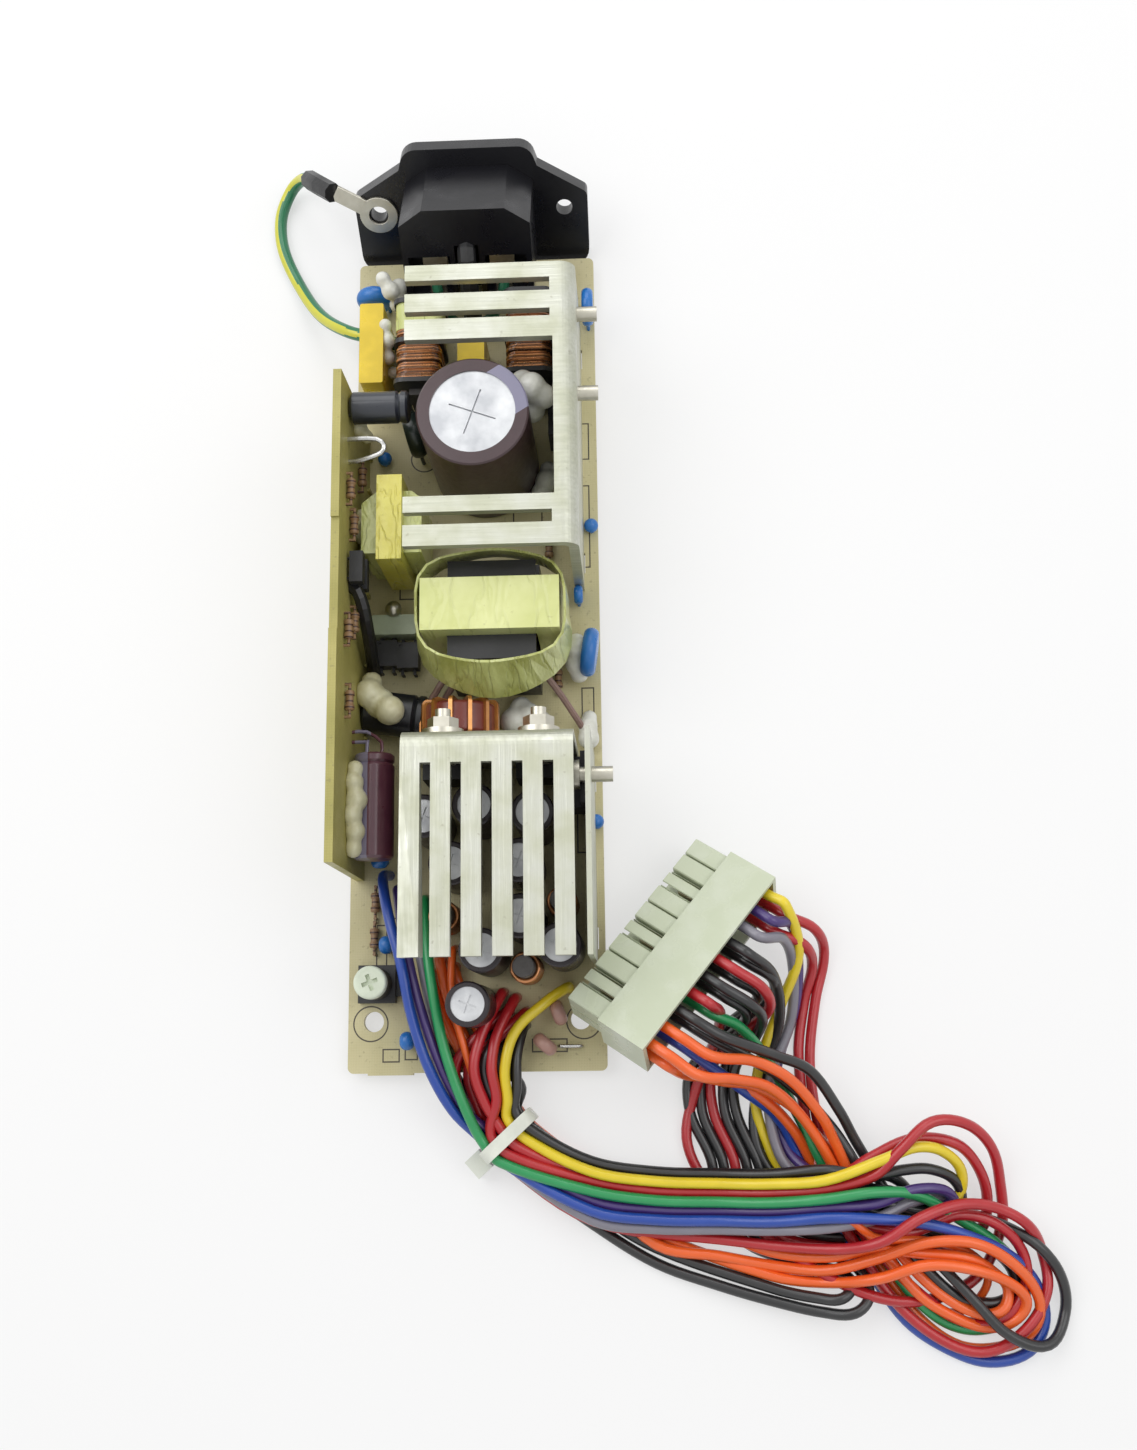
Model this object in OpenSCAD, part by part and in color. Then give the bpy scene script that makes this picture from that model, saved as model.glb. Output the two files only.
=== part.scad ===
// Open frame power supply: a long circuit board with two folded heatsinks, a tilted mains inlet
// at the far end and a twenty way output harness at the near end.
// Places are given from the board's near left corner, heights from the board's top face.

/* [Main board] */
// Width of the main board
board_w = 51.3; // [51:0.1:60]
// Length of the main board
board_len = 173.6; // [170:0.2:190]
// Thickness of the main board
board_t = 1.6; // [1:0.1:2.4]
// Corner radius of the main board
board_corner_r = 1.2; // [0.5:0.1:2]
// Bore of the mounting holes
mount_bore = 4; // [3.2:0.1:4.4]
// Distance of the mounting holes from the side edges
mount_inset_x = 5.1; // [4.6:0.1:5.4]
// Distance of the mounting holes from the output edge
mount_inset_y = 10; // [9:0.1:10.6]
// Length of the clipped leads below the board
lead_below = 2; // [1.2:0.1:3]
// Radius of the component leads
lead_r = 0.4; // [0.3:0.05:0.5]
// Radius of the solder joints at the board
solder_r = 1.1; // [0.8:0.05:1.3]

/* [Control board] */
// Distance of the control board from the left edge
control_x = 1.2; // [0.4:0.1:1.6]
// Near and far ends of the control board
control_ends = [38, 134]; // [30:0.5:140]
// Thickness of the control board
control_t = 1.6; // [1:0.1:1.8]
// Height of the control board above the main board
control_h = 33; // [28:0.5:40]

/* [Primary heatsink] */
// Height of the primary heatsink's upper face
primary_top = 32; // [31.8:0.1:38]
// Sheet thickness of the primary heatsink
primary_sheet = 2; // [1.2:0.1:2.2]
// Left end of the fingers
primary_left = 14.8; // [14:0.1:16]
// Outer face of the upright wall
primary_wall_x = 48.3; // [48:0.1:48.6]
// Left ends of the spine and of the slots between the fingers
primary_roots = [43.8, 43.3]; // [42.8:0.1:44]
// Near and far edges of the sheet
primary_ends = [97.9, 155.8]; // [97.5:0.1:156.5]
// Edges of the near slot
primary_slot_near = [102.1, 104.6]; // [101:0.1:105]
// Edges of the wide gap for the bulk capacitor
primary_gap = [107.8, 140]; // [107:0.1:140.5]
// Edges of the middle slot
primary_slot_mid = [144.3, 145.9]; // [143:0.1:147]
// Edges of the far slot
primary_slot_far = [149.7, 152.5]; // [149:0.1:153]
// Inner bend radius of both heatsinks
bend_r = 1.2; // [0.6:0.1:1.4]

/* [Secondary heatsink] */
// Height of the secondary heatsink's upper face
secondary_top = 32; // [30:0.1:38]
// Sheet thickness of the secondary heatsink
secondary_sheet = 2; // [1.2:0.1:2.2]
// Left and right edges of the sheet
secondary_sides = [14.7, 46.7]; // [14:0.1:47]
// Near and far faces of the sheet
secondary_ends = [20.8, 62.5]; // [20:0.1:63]
// Near end of the band that joins the fingers
secondary_root = 56.2; // [54.5:0.1:57]
// Number of fingers
secondary_fingers = 6; // [4:1:6]
// Width of the slots between the fingers
secondary_slot = 2; // [1.5:0.1:2.4]
// Twist of the leftmost finger's near end, in degrees
finger_twist = 18; // [0:1:24]
// Inner face of the side heatsink
side_x = 48.8; // [48.4:0.1:49]
// Sheet thickness of the side heatsink
side_sheet = 1; // [0.8:0.1:1.2]
// Width of the heatsinks' solder tabs
tab_w = 4; // [2.5:0.1:5]
// Clearance round a tab in its board slot
tab_gap = 0.2; // [0.1:0.05:0.3]

/* [Heatsink parts] */
// Width, thickness and height of a power package
package = [10, 4.5, 15.5]; // [4:0.1:16]
// Height of the package above the board
package_lift = 5; // [3:0.1:7]
// Places of the power transistors along the board
transistor_y = [132, 149]; // [125:0.5:150]
// Places of the rectifiers across the board
rectifier_x = [21.5, 39.8]; // [20:0.5:41]
// Place of the rectifier on the side heatsink, along the board
side_rectifier_y = 55; // [48:0.5:55]
// Shaft and head radius of the fixing screws
screw_r = [1.5, 2.8]; // [1:0.1:3]
// Height of the fixing screws above the board
screw_z = 22.5; // [22:0.1:24]

/* [Mains inlet] */
// Lean of the inlet away from upright, in degrees
inlet_lean = 31; // [27:0.5:35]
// Centre of the inlet across the board
inlet_x = 25.5; // [24:0.1:27]
// Width, height and thickness of the flange
flange = [50, 28, 3.6]; // [3:0.1:52]
// Width and height of the flange's raised middle
flange_hump = [28.5, 23.6]; // [18:0.1:30]
// Height of the flange's ears at their outer edge
ear_h = 18; // [16:0.1:20]
// Distance between the ear holes
ear_pitch = 40; // [39:0.1:41]
// Bore of the ear holes
ear_bore = 3.5; // [3:0.1:4]
// Width, height and depth of the body behind the flange
inlet_body = [27, 20, 18]; // [16:0.1:28]
// Width, height and depth of the plug socket
socket = [24, 16.4, 15]; // [14:0.1:25]
// Corner cut of the body and of the socket
inlet_cut = [5.2, 4]; // [3:0.1:6]
// Width, thickness and length of a contact blade
blade = [4, 2, 13]; // [1.8:0.1:14]
// Distance between the line and neutral contacts
blade_pitch = 14; // [13.5:0.1:14.5]
// Height of the earth contact over the other two
earth_rise = 4; // [3.5:0.1:4.2]

/* [Bulk capacitor] */
// Place of the bulk capacitor
bulk_at = [28, 125.3]; // [27:0.1:128]
// Radius and height of the can
bulk = [10.7, 31]; // [10:0.1:32]
// Wall of a capacitor's printed sleeve
sleeve_wall = 0.3; // [0.2:0.05:0.4]
// Radius of the bare disc that shows inside the sleeve's rim
bulk_bare_r = 8.4; // [8:0.1:9]

/* [Filter parts] */
// Places of the two line chokes
choke_at = [[15.6, 146.4], [38.2, 147.9]];
// Width, length and height of a choke winding
choke = [9.3, 17.5, 11]; // [8:0.1:18]
// Height of a choke winding's underside
choke_lift = 8; // [7:0.1:9]
// Number of wire turns that show along each choke half
choke_turns = 8; // [5:1:9]
// Side of the choke's square core limb
choke_limb = 4.4; // [3.5:0.1:5]
// Place and size of the large film capacitor
film_a_at = [5.5, 147.5]; // [5:0.1:148]
// Width, length and height of the large film capacitor
film_a = [4.9, 17.6, 16]; // [4:0.1:19]
// Place of the small film capacitor
film_b_at = [25.8, 145.3]; // [25:0.1:146]
// Width, length and height of the small film capacitor
film_b = [5.6, 12, 13]; // [5:0.1:14]
// Place of the thermistor
thermistor_at = [13.6, 130]; // [13:0.1:131]
// Radius and thickness of the thermistor
thermistor = [5, 3.6]; // [3:0.1:6]

/* [Transformers] */
// Place of the main transformer
main_at = [30.7, 88.4]; // [30:0.1:89]
// Width, thickness and height of its core
main_core = [27.2, 10.4, 25.5]; // [10:0.1:28]
// Width of the core's outer limbs, and radius of its centre limb
main_limbs = [4.6, 4.6]; // [4:0.1:5]
// Thickness of the tape round a core
core_tape = 0.15; // [0.1:0.05:0.3]
// Radius and height of the winding
main_winding = [8.7, 14]; // [8:0.1:15]
// Place of the standby transformer
standby_at = [10.7, 107.2]; // [10:0.1:108]
// Width, length and height of its core
standby_core_size = [5, 17.4, 23]; // [4.5:0.1:24]
// Width, length and height of its taped winding
standby_body = [12, 12.6, 14]; // [11:0.1:15]
// Place of the output toroid
toroid_at = [23.2, 68.6]; // [22.5:0.1:69]
// Outer radius, hole radius and thickness of the toroid
toroid = [7.4, 3.4, 6.4]; // [3:0.1:8]
// Number of turns on the toroid
toroid_turns = 12; // [8:1:14]
// Wire thickness of the toroid
toroid_wire = 0.8; // [0.5:0.05:0.9]

/* [Output parts] */
// Radius and height of the output capacitors
output_can = [3.9, 20]; // [3.5:0.1:21]
// Radius and height of the rod chokes' cores
rod_core = [2.1, 17]; // [1.8:0.1:18]
// Wire thickness of the rod chokes
rod_wire = 0.9; // [0.7:0.05:1]
// Turns of a rod choke
rod_turns = 12; // [8:1:13]
// Place of the nylon post
post_at = [6, 17.3]; // [5.8:0.1:18]
// Head radius and height of the post
post = [3.2, 11]; // [3:0.1:12]
// Radius and length of the capacitor along the control board
control_can = [3.9, 20.5]; // [3.5:0.1:21]
// Radius and length of the capacitor across the control board
cross_can = [3.2, 11.5]; // [3:0.1:12]
// Radius and length of the black capacitor
black_can = [4.4, 12.6]; // [4:0.1:13]

/* [Harness] */
// Diameter of the power wires
wire_d = 2.1; // [1.9:0.05:2.15]
// Circuits in each row of the connector
circuits = 10; // [10:1:10]
// Pitch of the circuits
circuit_pitch = 4.2; // [4.1:0.05:4.3]
// Wall outside the end circuits
housing_end = 0.6; // [0.5:0.05:1]
// Depth of the housing's collar
collar_depth = 10.4; // [9.5:0.1:11]
// Length of the silos in front of the collar
silo_len = 7.7; // [7:0.1:9]
// Height of the housing
housing_h = 10; // [9.4:0.1:10.6]
// Side of each circuit's cavity
cavity = 3.5; // [3.3:0.05:3.6]
// Width of the cable tie's strap
tie_w = 2.6; // [2.2:0.1:4]
// Thickness of the cable tie's strap
tie_t = 1.1; // [0.8:0.1:1.2]

/* [Hidden] */
$fn = 48;
eps = 0.01;

// The origin is on the axis of the left mounting hole, at the board's underside
module on_board() translate([-mount_inset_x, -mount_inset_y, board_t]) children();

function mount_holes() = [
    [mount_inset_x, mount_inset_y],
    [board_w - mount_inset_x, mount_inset_y]
];

// Points of an arc about c, from angle a0 to angle a1
function arc(c, r, a0, a1, n = 6) = [
    for (i = [0 : n]) let (a = a0 + (a1 - a0) * i / n) [c[0] + r * cos(a), c[1] + r * sin(a)]
];

module rounded_rect(w, l, r) {
    translate([r, 0]) square([w - 2 * r, l]);
    translate([0, r]) square([w, l - 2 * r]);
    for (x = [r, w - r], y = [r, l - r]) translate([x, y]) circle(r);
}

module rounded_block(size, r) {
    translate([-size[0] / 2, -size[1] / 2, 0])
        linear_extrude(size[2]) rounded_rect(size[0], size[1], r);
}

module lead(at, top, bottom = 0) translate([at[0], at[1], bottom]) cylinder(r = lead_r, h = top - bottom);

// A tube swept along a route: rings of sides points, square to the route's own direction
function unit(v) = v / norm(v);
function blend_point(p0, p1, p2, p3, t) = 0.5 * ((2 * p1) + (p2 - p0) * t
    + (2 * p0 - 5 * p1 + 4 * p2 - p3) * t * t + (3 * p1 - p0 - 3 * p2 + p3) * t * t * t);
function smooth(p, n = 2) = let (m = len(p)) [
    for (i = [0 : m - 2], k = [0 : n - 1])
        blend_point(p[max(i - 1, 0)], p[i], p[i + 1], p[min(i + 2, m - 1)], k / n),
    p[m - 1]
];
function heading(p, i) = unit(p[min(i + 1, len(p) - 1)] - p[max(i - 1, 0)]);
function carried(side, t) = unit(side - (side * t) * t);
function sides_along(p, i, side) = i == len(p) ? []
    : let (s = carried(side, heading(p, i))) concat([s], sides_along(p, i + 1, s));

module tube(p, d, sides = 8) {
    first = heading(p, 0);
    start = abs(first[2]) > 0.9 ? [1, 0.2, 0] : [0.1, 0, 1];
    across = sides_along(p, 0, carried(start, first));
    points = [for (i = [0 : len(p) - 1]) let (u = across[i], v = cross(heading(p, i), u))
        for (k = [0 : sides - 1]) p[i] + d / 2 * (cos(360 * k / sides) * u + sin(360 * k / sides) * v)];
    last = (len(p) - 1) * sides;
    polyhedron(points, concat(
        [[for (k = [sides - 1 : -1 : 0]) k]],
        [for (i = [0 : len(p) - 2], k = [0 : sides - 1]) let (a = i * sides, b = (k + 1) % sides)
            [a + k, a + b, a + sides + b, a + sides + k]],
        [[for (k = [0 : sides - 1]) last + k]]));
}

// A standing can with a crimped groove near its foot and a cross vent in its top
module can(r, h, groove, vent) {
    difference() {
        cylinder(r = r, h = h);
        translate([0, 0, groove]) rotate_extrude() translate([r + 0.5, 0]) circle(0.9, $fn = 16);
        for (a = [70, 160]) translate([0, 0, h - vent]) rotate([0, 0, a])
            translate([-r * 0.45, -0.15, 0]) cube([r * 0.9, 0.3, vent + eps]);
    }
}

module can_sleeve(r, h, rim_r) {
    rotate_extrude() polygon([
        [r, 0.6], [r + sleeve_wall, 0.6], [r + sleeve_wall, h], [r, h + sleeve_wall],
        [rim_r, h + sleeve_wall], [rim_r, h], [r, h]]);
}

function pair(at, pitch, angle = 0) = [
    for (s = [-0.5, 0.5]) at + s * pitch * [cos(angle), sin(angle)]
];

// Main board

slot_places = [
    [primary_wall_x - primary_sheet / 2, primary_ends[0] + 6, primary_sheet, tab_w],
    [primary_wall_x - primary_sheet / 2, primary_ends[1] - 6, primary_sheet, tab_w],
    [secondary_sides[0] + 3.5, secondary_ends[1] - secondary_sheet / 2, tab_w, secondary_sheet],
    [secondary_sides[1] - 3.5, secondary_ends[1] - secondary_sheet / 2, tab_w, secondary_sheet],
    [side_x + side_sheet / 2, secondary_ends[0] + 5, side_sheet, tab_w],
    [side_x + side_sheet / 2, secondary_ends[1] - 5, side_sheet, tab_w]
];

module board_tab(i) {
    s = slot_places[i];
    translate([s[0] - s[2] / 2, s[1] - s[3] / 2, -board_t - lead_below / 2])
        cube([s[2], s[3], board_t + lead_below / 2 + eps]);
}

module main_board() {
    color("#b9a873") on_board() difference() {
        union() {
            translate([0, 0, -board_t]) linear_extrude(board_t)
                rounded_rect(board_w, board_len, board_corner_r);
            translate([4, -0.4, -board_t]) cube([9, 0.8, board_t]);
        }
        for (at = mount_holes()) translate([at[0], at[1], -board_t - 1])
            cylinder(d = mount_bore, h = board_t + 2);
        for (s = slot_places)
            translate([s[0] - s[2] / 2 - tab_gap, s[1] - s[3] / 2 - tab_gap, -board_t - 1])
                cube([s[2] + 2 * tab_gap, s[3] + 2 * tab_gap, board_t + 2]);
    }
}

module control_board() {
    pins = 12;
    pin_step = (control_ends[1] - control_ends[0] - 12) / (pins - 1);
    color("#b5a66a") on_board() {
        difference() {
            translate([control_x, control_ends[0], 0])
                cube([control_t, control_ends[1] - control_ends[0], control_h]);
            translate([control_x - 1, control_ends[0] + 44, control_h - 0.6])
                cube([control_t + 2, 22, 1]);
        }
        for (i = [0 : pins - 1]) translate([control_x + control_t, control_ends[0] + 6 + i * pin_step, 0])
            translate([0, -0.3, 0]) cube([0.6, 0.6, 3]);
    }
}

// Heatsinks

// The folded section: a level sheet that turns down through a bend into a wall
module folded_section(level_end, wall_face, top, sheet) {
    outer = bend_r + sheet;
    c = [wall_face - outer, top - outer];
    polygon(concat(
        [[level_end, top - sheet], [level_end, top]],
        arc(c, outer, 90, 0, 8),
        [[wall_face, 0], [wall_face - sheet, 0]],
        arc(c, bend_r, 0, 90, 6)));
}

module primary_heatsink() {
    run = primary_ends[1] - primary_ends[0];
    color("#d9ded2") on_board() difference() {
        union() {
            translate([0, primary_ends[1], 0]) rotate([90, 0, 0]) linear_extrude(run)
                folded_section(primary_left, primary_wall_x, primary_top, primary_sheet);
            board_tab(0);
            board_tab(1);
        }
        for (s = [primary_slot_near, primary_slot_mid, primary_slot_far])
            translate([primary_left - 1, s[0], primary_top - primary_sheet - 1])
                cube([primary_roots[1] - primary_left + 1, s[1] - s[0], primary_sheet + 2]);
        translate([primary_left - 1, primary_gap[0], primary_top - primary_sheet - 1])
            cube([primary_roots[0] - primary_left + 1, primary_gap[1] - primary_gap[0], primary_sheet + 2]);
        for (y = transistor_y) translate([primary_wall_x + 1, y, screw_z]) rotate([0, -90, 0])
            cylinder(r = screw_r[0] + 0.1, h = primary_sheet + 2);
    }
}

finger_pitch = (secondary_sides[1] - secondary_sides[0] + secondary_slot) / secondary_fingers;
finger_w = finger_pitch - secondary_slot;

module secondary_heatsink() {
    run = secondary_sides[1] - secondary_sides[0];
    wall = secondary_ends[1];
    top = secondary_top;
    color("#dfe3da") on_board() {
        difference() {
            union() {
                translate([secondary_sides[0], 0, 0]) rotate([90, 0, 90]) linear_extrude(run)
                    folded_section(secondary_ends[0], wall, top, secondary_sheet);
                board_tab(2);
                board_tab(3);
            }
            for (i = [1 : secondary_fingers - 1])
                translate([secondary_sides[0] + i * finger_pitch - secondary_slot, secondary_ends[0] - 1,
                    top - secondary_sheet - 1])
                    cube([secondary_slot, secondary_root - secondary_ends[0] + 1, secondary_sheet + 2]);
            translate([secondary_sides[0] - 1, secondary_ends[0] - 1, top - secondary_sheet - 1])
                cube([finger_w + 1 + eps, secondary_root - secondary_ends[0] + 1, secondary_sheet + 2]);
            for (x = rectifier_x) translate([x, wall + 1, screw_z]) rotate([90, 0, 0])
                cylinder(r = screw_r[0] + 0.1, h = secondary_sheet + 2);
        }
        hull() {
            translate([secondary_sides[0], secondary_root - eps, top - secondary_sheet])
                cube([finger_w, 2 * eps, secondary_sheet]);
            translate([secondary_sides[0] + finger_w, secondary_ends[0], top]) rotate([0, -finger_twist, 0])
                translate([-finger_w - 0.6, 0, -secondary_sheet])
                cube([finger_w + 0.6, 2 * eps, secondary_sheet]);
        }
    }
}

module side_heatsink() {
    color("#cfd4cc") on_board() {
        difference() {
            translate([side_x, secondary_ends[0], 0])
                cube([side_sheet, secondary_ends[1] - secondary_ends[0], secondary_top]);
            translate([side_x - 1, side_rectifier_y, screw_z]) rotate([0, 90, 0])
                cylinder(r = screw_r[0] + 0.1, h = side_sheet + 2);
        }
        board_tab(4);
        board_tab(5);
    }
}

// A power package: moulded body with a metal tab and three leads, its back at y = 0
module power_package() {
    tab_t = 1.3;
    translate([-package[0] / 2, 0, 0]) cube([package[0], tab_t, package[2]]);
    translate([-package[0] / 2, tab_t - eps, 0]) cube([package[0], package[1] - tab_t, package[2] * 0.6]);
    for (x = [-2.54, 0, 2.54]) translate([x - 0.35, 2.4, -package_lift]) cube([0.7, 0.5, package_lift + eps]);
}

module power_transistors() {
    color("#26262a") on_board() for (y = transistor_y)
        translate([primary_wall_x - primary_sheet, y, package_lift]) rotate([0, 0, 90]) difference() {
            power_package();
            translate([0, -1, screw_z - package_lift]) rotate([-90, 0, 0])
                cylinder(r = screw_r[0] + 0.1, h = package[1] + 2);
        }
}

module rectifiers() {
    color("#2a2a2e") on_board() {
        for (x = rectifier_x) translate([x, secondary_ends[1] - secondary_sheet, package_lift])
            rotate([0, 0, 180]) packaged();
        translate([side_x, side_rectifier_y, package_lift]) rotate([0, 0, 90]) packaged();
    }
}

module packaged() difference() {
    power_package();
    translate([0, -1, screw_z - package_lift]) rotate([-90, 0, 0])
        cylinder(r = screw_r[0] + 0.1, h = package[1] + 2);
}

// A pan head screw along +Z with its head's seat at z = 0, and its nut at the far end
module pan_screw(grip, nut = true) {
    translate([0, 0, -1.8]) difference() {
        rotate_extrude() polygon(concat([[0, 0]], arc([screw_r[1] - 0.8, 0.8], 0.8, -90, 0, 4),
            [[screw_r[1], 1.8], [0, 1.8]]));
        translate([-screw_r[1], -0.35, -eps]) cube([2 * screw_r[1], 0.7, 0.8]);
    }
    translate([0, 0, -eps]) cylinder(r = screw_r[0], h = grip + 4);
    if (nut) translate([0, 0, grip]) difference() {
        cylinder(r = 3, h = 2.2, $fn = 6);
        translate([0, 0, -1]) cylinder(r = screw_r[0] - eps, h = 5);
    }
}

module fasteners() {
    tab_t = 1.3;
    color("#c9c6b4") on_board() {
        for (x = rectifier_x) {
            translate([x, secondary_ends[1] - secondary_sheet - tab_t, screw_z]) rotate([-90, 0, 0])
                pan_screw(secondary_sheet + tab_t + 1.6);
            translate([x, secondary_ends[1], screw_z]) rotate([-90, 0, 0]) difference() {
                cylinder(r = 4, h = 1.6);
                translate([0, 0, -1]) cylinder(r = screw_r[0] + 0.1, h = 4);
            }
        }
        for (y = transistor_y) translate([primary_wall_x - primary_sheet - tab_t, y, screw_z])
            rotate([0, 90, 0]) pan_screw(primary_sheet + tab_t, false);
        translate([side_x - tab_t, side_rectifier_y, screw_z]) rotate([0, 90, 0])
            pan_screw(side_sheet + tab_t, false);
        translate([dome_at[0], dome_at[1], 0]) {
            cylinder(r = 1, h = dome_z + 0.1);
            translate([0, 0, dome_z]) rotate_extrude() intersection() {
                translate([0, -0.6]) circle(1.8);
                square([2, 2]);
            }
        }
    }
}

// Mains inlet, made upright in its own frame: x across, y up the flange, z towards the board

module inlet_frame() {
    translate([inlet_x, board_len + 0.4, -board_t - lead_below]) rotate([90 - inlet_lean, 0, 0])
        translate([0, 0, 0]) children();
}

module flange_outline() {
    w = flange[0] / 2;
    hump = flange_hump[0] / 2;
    lower_r = 4;
    upper_r = 3.6;
    right = concat(
        arc([w - lower_r, lower_r], lower_r, -90, 0),
        arc([w - 1.6, ear_h - 1.6], 1.6, 0, 65, 3),
        [[hump + 0.4, flange_hump[1]]],
        arc([hump - upper_r, flange[1] - upper_r], upper_r, 12, 90));
    polygon(concat(right, [for (i = [len(right) - 1 : -1 : 0]) [-right[i][0], right[i][1]]]));
}

// A rectangle about x = 0 with its two upper corners cut off
module cut_outline(w, h, cut_x, cut_y) {
    polygon([[-w / 2, 0], [w / 2, 0], [w / 2, h - cut_y], [w / 2 - cut_x, h],
        [cut_x - w / 2, h], [-w / 2, h - cut_y]]);
}

body_foot = (flange[1] - inlet_body[1]) / 2;
socket_foot = body_foot + (inlet_body[1] - socket[1]) / 2;
contact_y = socket_foot + 5.4;
back_wall = flange[2] + inlet_body[2] - 0.5 - socket[2];
recess_h = 8.4;
recess_depth = 4.6;
rib_w = 1.2;

module inlet_housing() {
    color("#1e1e22") on_board() inlet_frame() difference() {
        union() {
            translate([0, 0, -flange[2]]) linear_extrude(flange[2]) flange_outline();
            translate([0, body_foot, -eps]) linear_extrude(inlet_body[2] + eps)
                cut_outline(inlet_body[0], inlet_body[1], inlet_cut[0] - 0.2, inlet_cut[1] - 0.6);
        }
        translate([0, socket_foot, -flange[2] - 1]) linear_extrude(socket[2] + 1)
            cut_outline(socket[0], socket[1], inlet_cut[0], inlet_cut[1]);
        for (s = [-1, 1]) translate([s * ear_pitch / 2, flange[1] / 2, -flange[2] - 1])
            cylinder(d = ear_bore, h = flange[2] + 2);
        for (s = [-1, 1]) translate([s > 0 ? 3.6 : -3.6 - recess_w, body_foot + rib_w, inlet_body[2] - recess_depth])
            cube([recess_w, recess_h, recess_depth + 1]);
        translate([-2.5, body_foot - 1, inlet_body[2] - recess_depth]) cube([5, recess_h + 4.6, recess_depth + 1]);
        contact_cuts();
    }
}

recess_w = inlet_body[0] / 2 - 3.6 - rib_w;

function contact_places() = [
    [-blade_pitch / 2, contact_y], [blade_pitch / 2, contact_y], [0, contact_y + earth_rise]
];

module contact_cuts() {
    for (at = contact_places()) translate([at[0] - blade[0] / 2, at[1] - blade[1] / 2, socket[2] - flange[2] - 1])
        cube([blade[0], blade[1], inlet_body[2] - recess_depth - socket[2] + flange[2] + 2]);
}

module inlet_contacts() {
    floor_z = socket[2] - flange[2];
    tail_z = inlet_body[2] - recess_depth;
    color("#d8c9a0") on_board() inlet_frame() for (i = [0 : 2]) {
        at = contact_places()[i];
        translate([at[0] - blade[0] / 2, at[1] - blade[1] / 2, floor_z - blade[2]])
            cube([blade[0], blade[1], tail_z - floor_z + blade[2] + 1]);
        if (i < 2) {
            translate([at[0] - 1.7, contact_y - 6.2, tail_z + 1 - eps]) cube([3.4, 7, 0.9]);
            translate([at[0] - 2.6, contact_y - 1.8, tail_z + 1 - eps]) cube([5.2, 3.2, 1.3]);
        } else
            translate([at[0] - 1.6, contact_y + earth_rise - 1, tail_z + 1 - eps]) cube([3.2, 2, 2.4]);
    }
}

// Point of the inlet's own frame, in the board's frame
function from_inlet(p) = [
    inlet_x + p[0],
    board_len + 0.4 + p[1] * sin(inlet_lean) - p[2] * cos(inlet_lean),
    -board_t - lead_below + p[1] * cos(inlet_lean) + p[2] * sin(inlet_lean)
];

lead_tail_z = inlet_body[2] - recess_depth + 1.9;
inlet_holes = [[inlet_x - 3.5, 158.5], [inlet_x + 1.5, 158.5]];
inlet_lead_d = 2.2;

module inlet_leads() {
    color("#3f7d55") on_board() for (i = [0, 1]) {
        from = from_inlet([contact_places()[i][0], contact_y - 4.4, lead_tail_z + inlet_lead_d / 2]);
        to = inlet_holes[i];
        tube(smooth([from, from + [0, -1.4, -0.6], [(from[0] + to[0]) / 2, to[1] + 0.6, 3.4],
            [to[0], to[1], 1.6], [to[0], to[1], 0]]), inlet_lead_d);
    }
}

module earth_tab_sleeve() {
    top = from_inlet([0, contact_y + earth_rise, inlet_body[2] - 1.1]);
    foot = [inlet_x, 157.4, 0];
    color("#232326") on_board()
        tube(smooth([top, top + [0, -2.6, -0.6], [top[0], foot[1] + 1, (top[2] + foot[2]) * 0.42], foot]), 3.8);
}

// Bulk capacitor

module bulk_capacitor() {
    color("#d6d8d4") on_board() translate([bulk_at[0], bulk_at[1], 0]) {
        translate([0, 0, 0.4]) can(bulk[0], bulk[1] - 0.4 - sleeve_wall, 3, 0.5);
        for (s = [-5, 5]) lead([s, 0], 0.5);
    }
}

module bulk_capacitor_sleeve() {
    color("#4b3a3c") on_board() translate([bulk_at[0], bulk_at[1], 0])
        can_sleeve(bulk[0], bulk[1] - sleeve_wall, bulk_bare_r);
}

// Line chokes: a square ferrite loop whose upper limb passes through a bobbin with two windings

choke_mid = choke_lift + choke[2] / 2;
choke_wall = 1;
core_gap = 0.1;

module each_choke() for (at = choke_at) translate([at[0], at[1], 0]) children();

module choke_cores() {
    half = choke[1] / 2 + choke_wall * 1.5 + 0.3;
    color("#55524e") on_board() each_choke() translate([-choke_limb / 2, 0, 0]) rotate([90, 0, 90])
        linear_extrude(choke_limb) difference() {
            translate([-half, 1.2]) square([2 * half, choke_mid + choke_limb / 2 - 1.2]);
            translate([choke_limb * 0.75 - half, 1.2 + choke_limb * 0.8])
                square([2 * half - choke_limb * 1.5, choke_mid - choke_limb * 1.3 - 1.2]);
        }
}

module choke_slice(grow, t, core = choke_limb + 2 * core_gap + 1.2) {
    translate([0, t / 2, choke_mid]) rotate([90, 0, 0]) linear_extrude(t) difference() {
        translate([-choke[0] / 2 - grow, -choke[2] / 2 - grow])
            rounded_rect(choke[0] + 2 * grow, choke[2] + 2 * grow, 2.2);
        square(core, center = true);
    }
}

module choke_bobbins() {
    tube_out = choke_limb + 2 * core_gap + 1.2;
    tube_in = choke_limb + 2 * core_gap;
    leads_x = choke[0] / 2 - 1;
    color("#1f1e20") on_board() each_choke() {
        for (y = [-choke[1] / 2, 0, choke[1] / 2]) translate([0, y, 0])
            choke_slice(0.5, choke_wall, tube_in);
        translate([0, choke[1] / 2, choke_mid]) rotate([90, 0, 0]) linear_extrude(choke[1]) difference() {
            square(tube_out, center = true);
            square(tube_in, center = true);
        }
        for (x = [-leads_x, leads_x], y = [-choke[1] / 2, choke[1] / 2]) {
            translate([x - 0.5, y - 0.5, 0]) cube([1, 1, choke_lift]);
        }
    }
}

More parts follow.
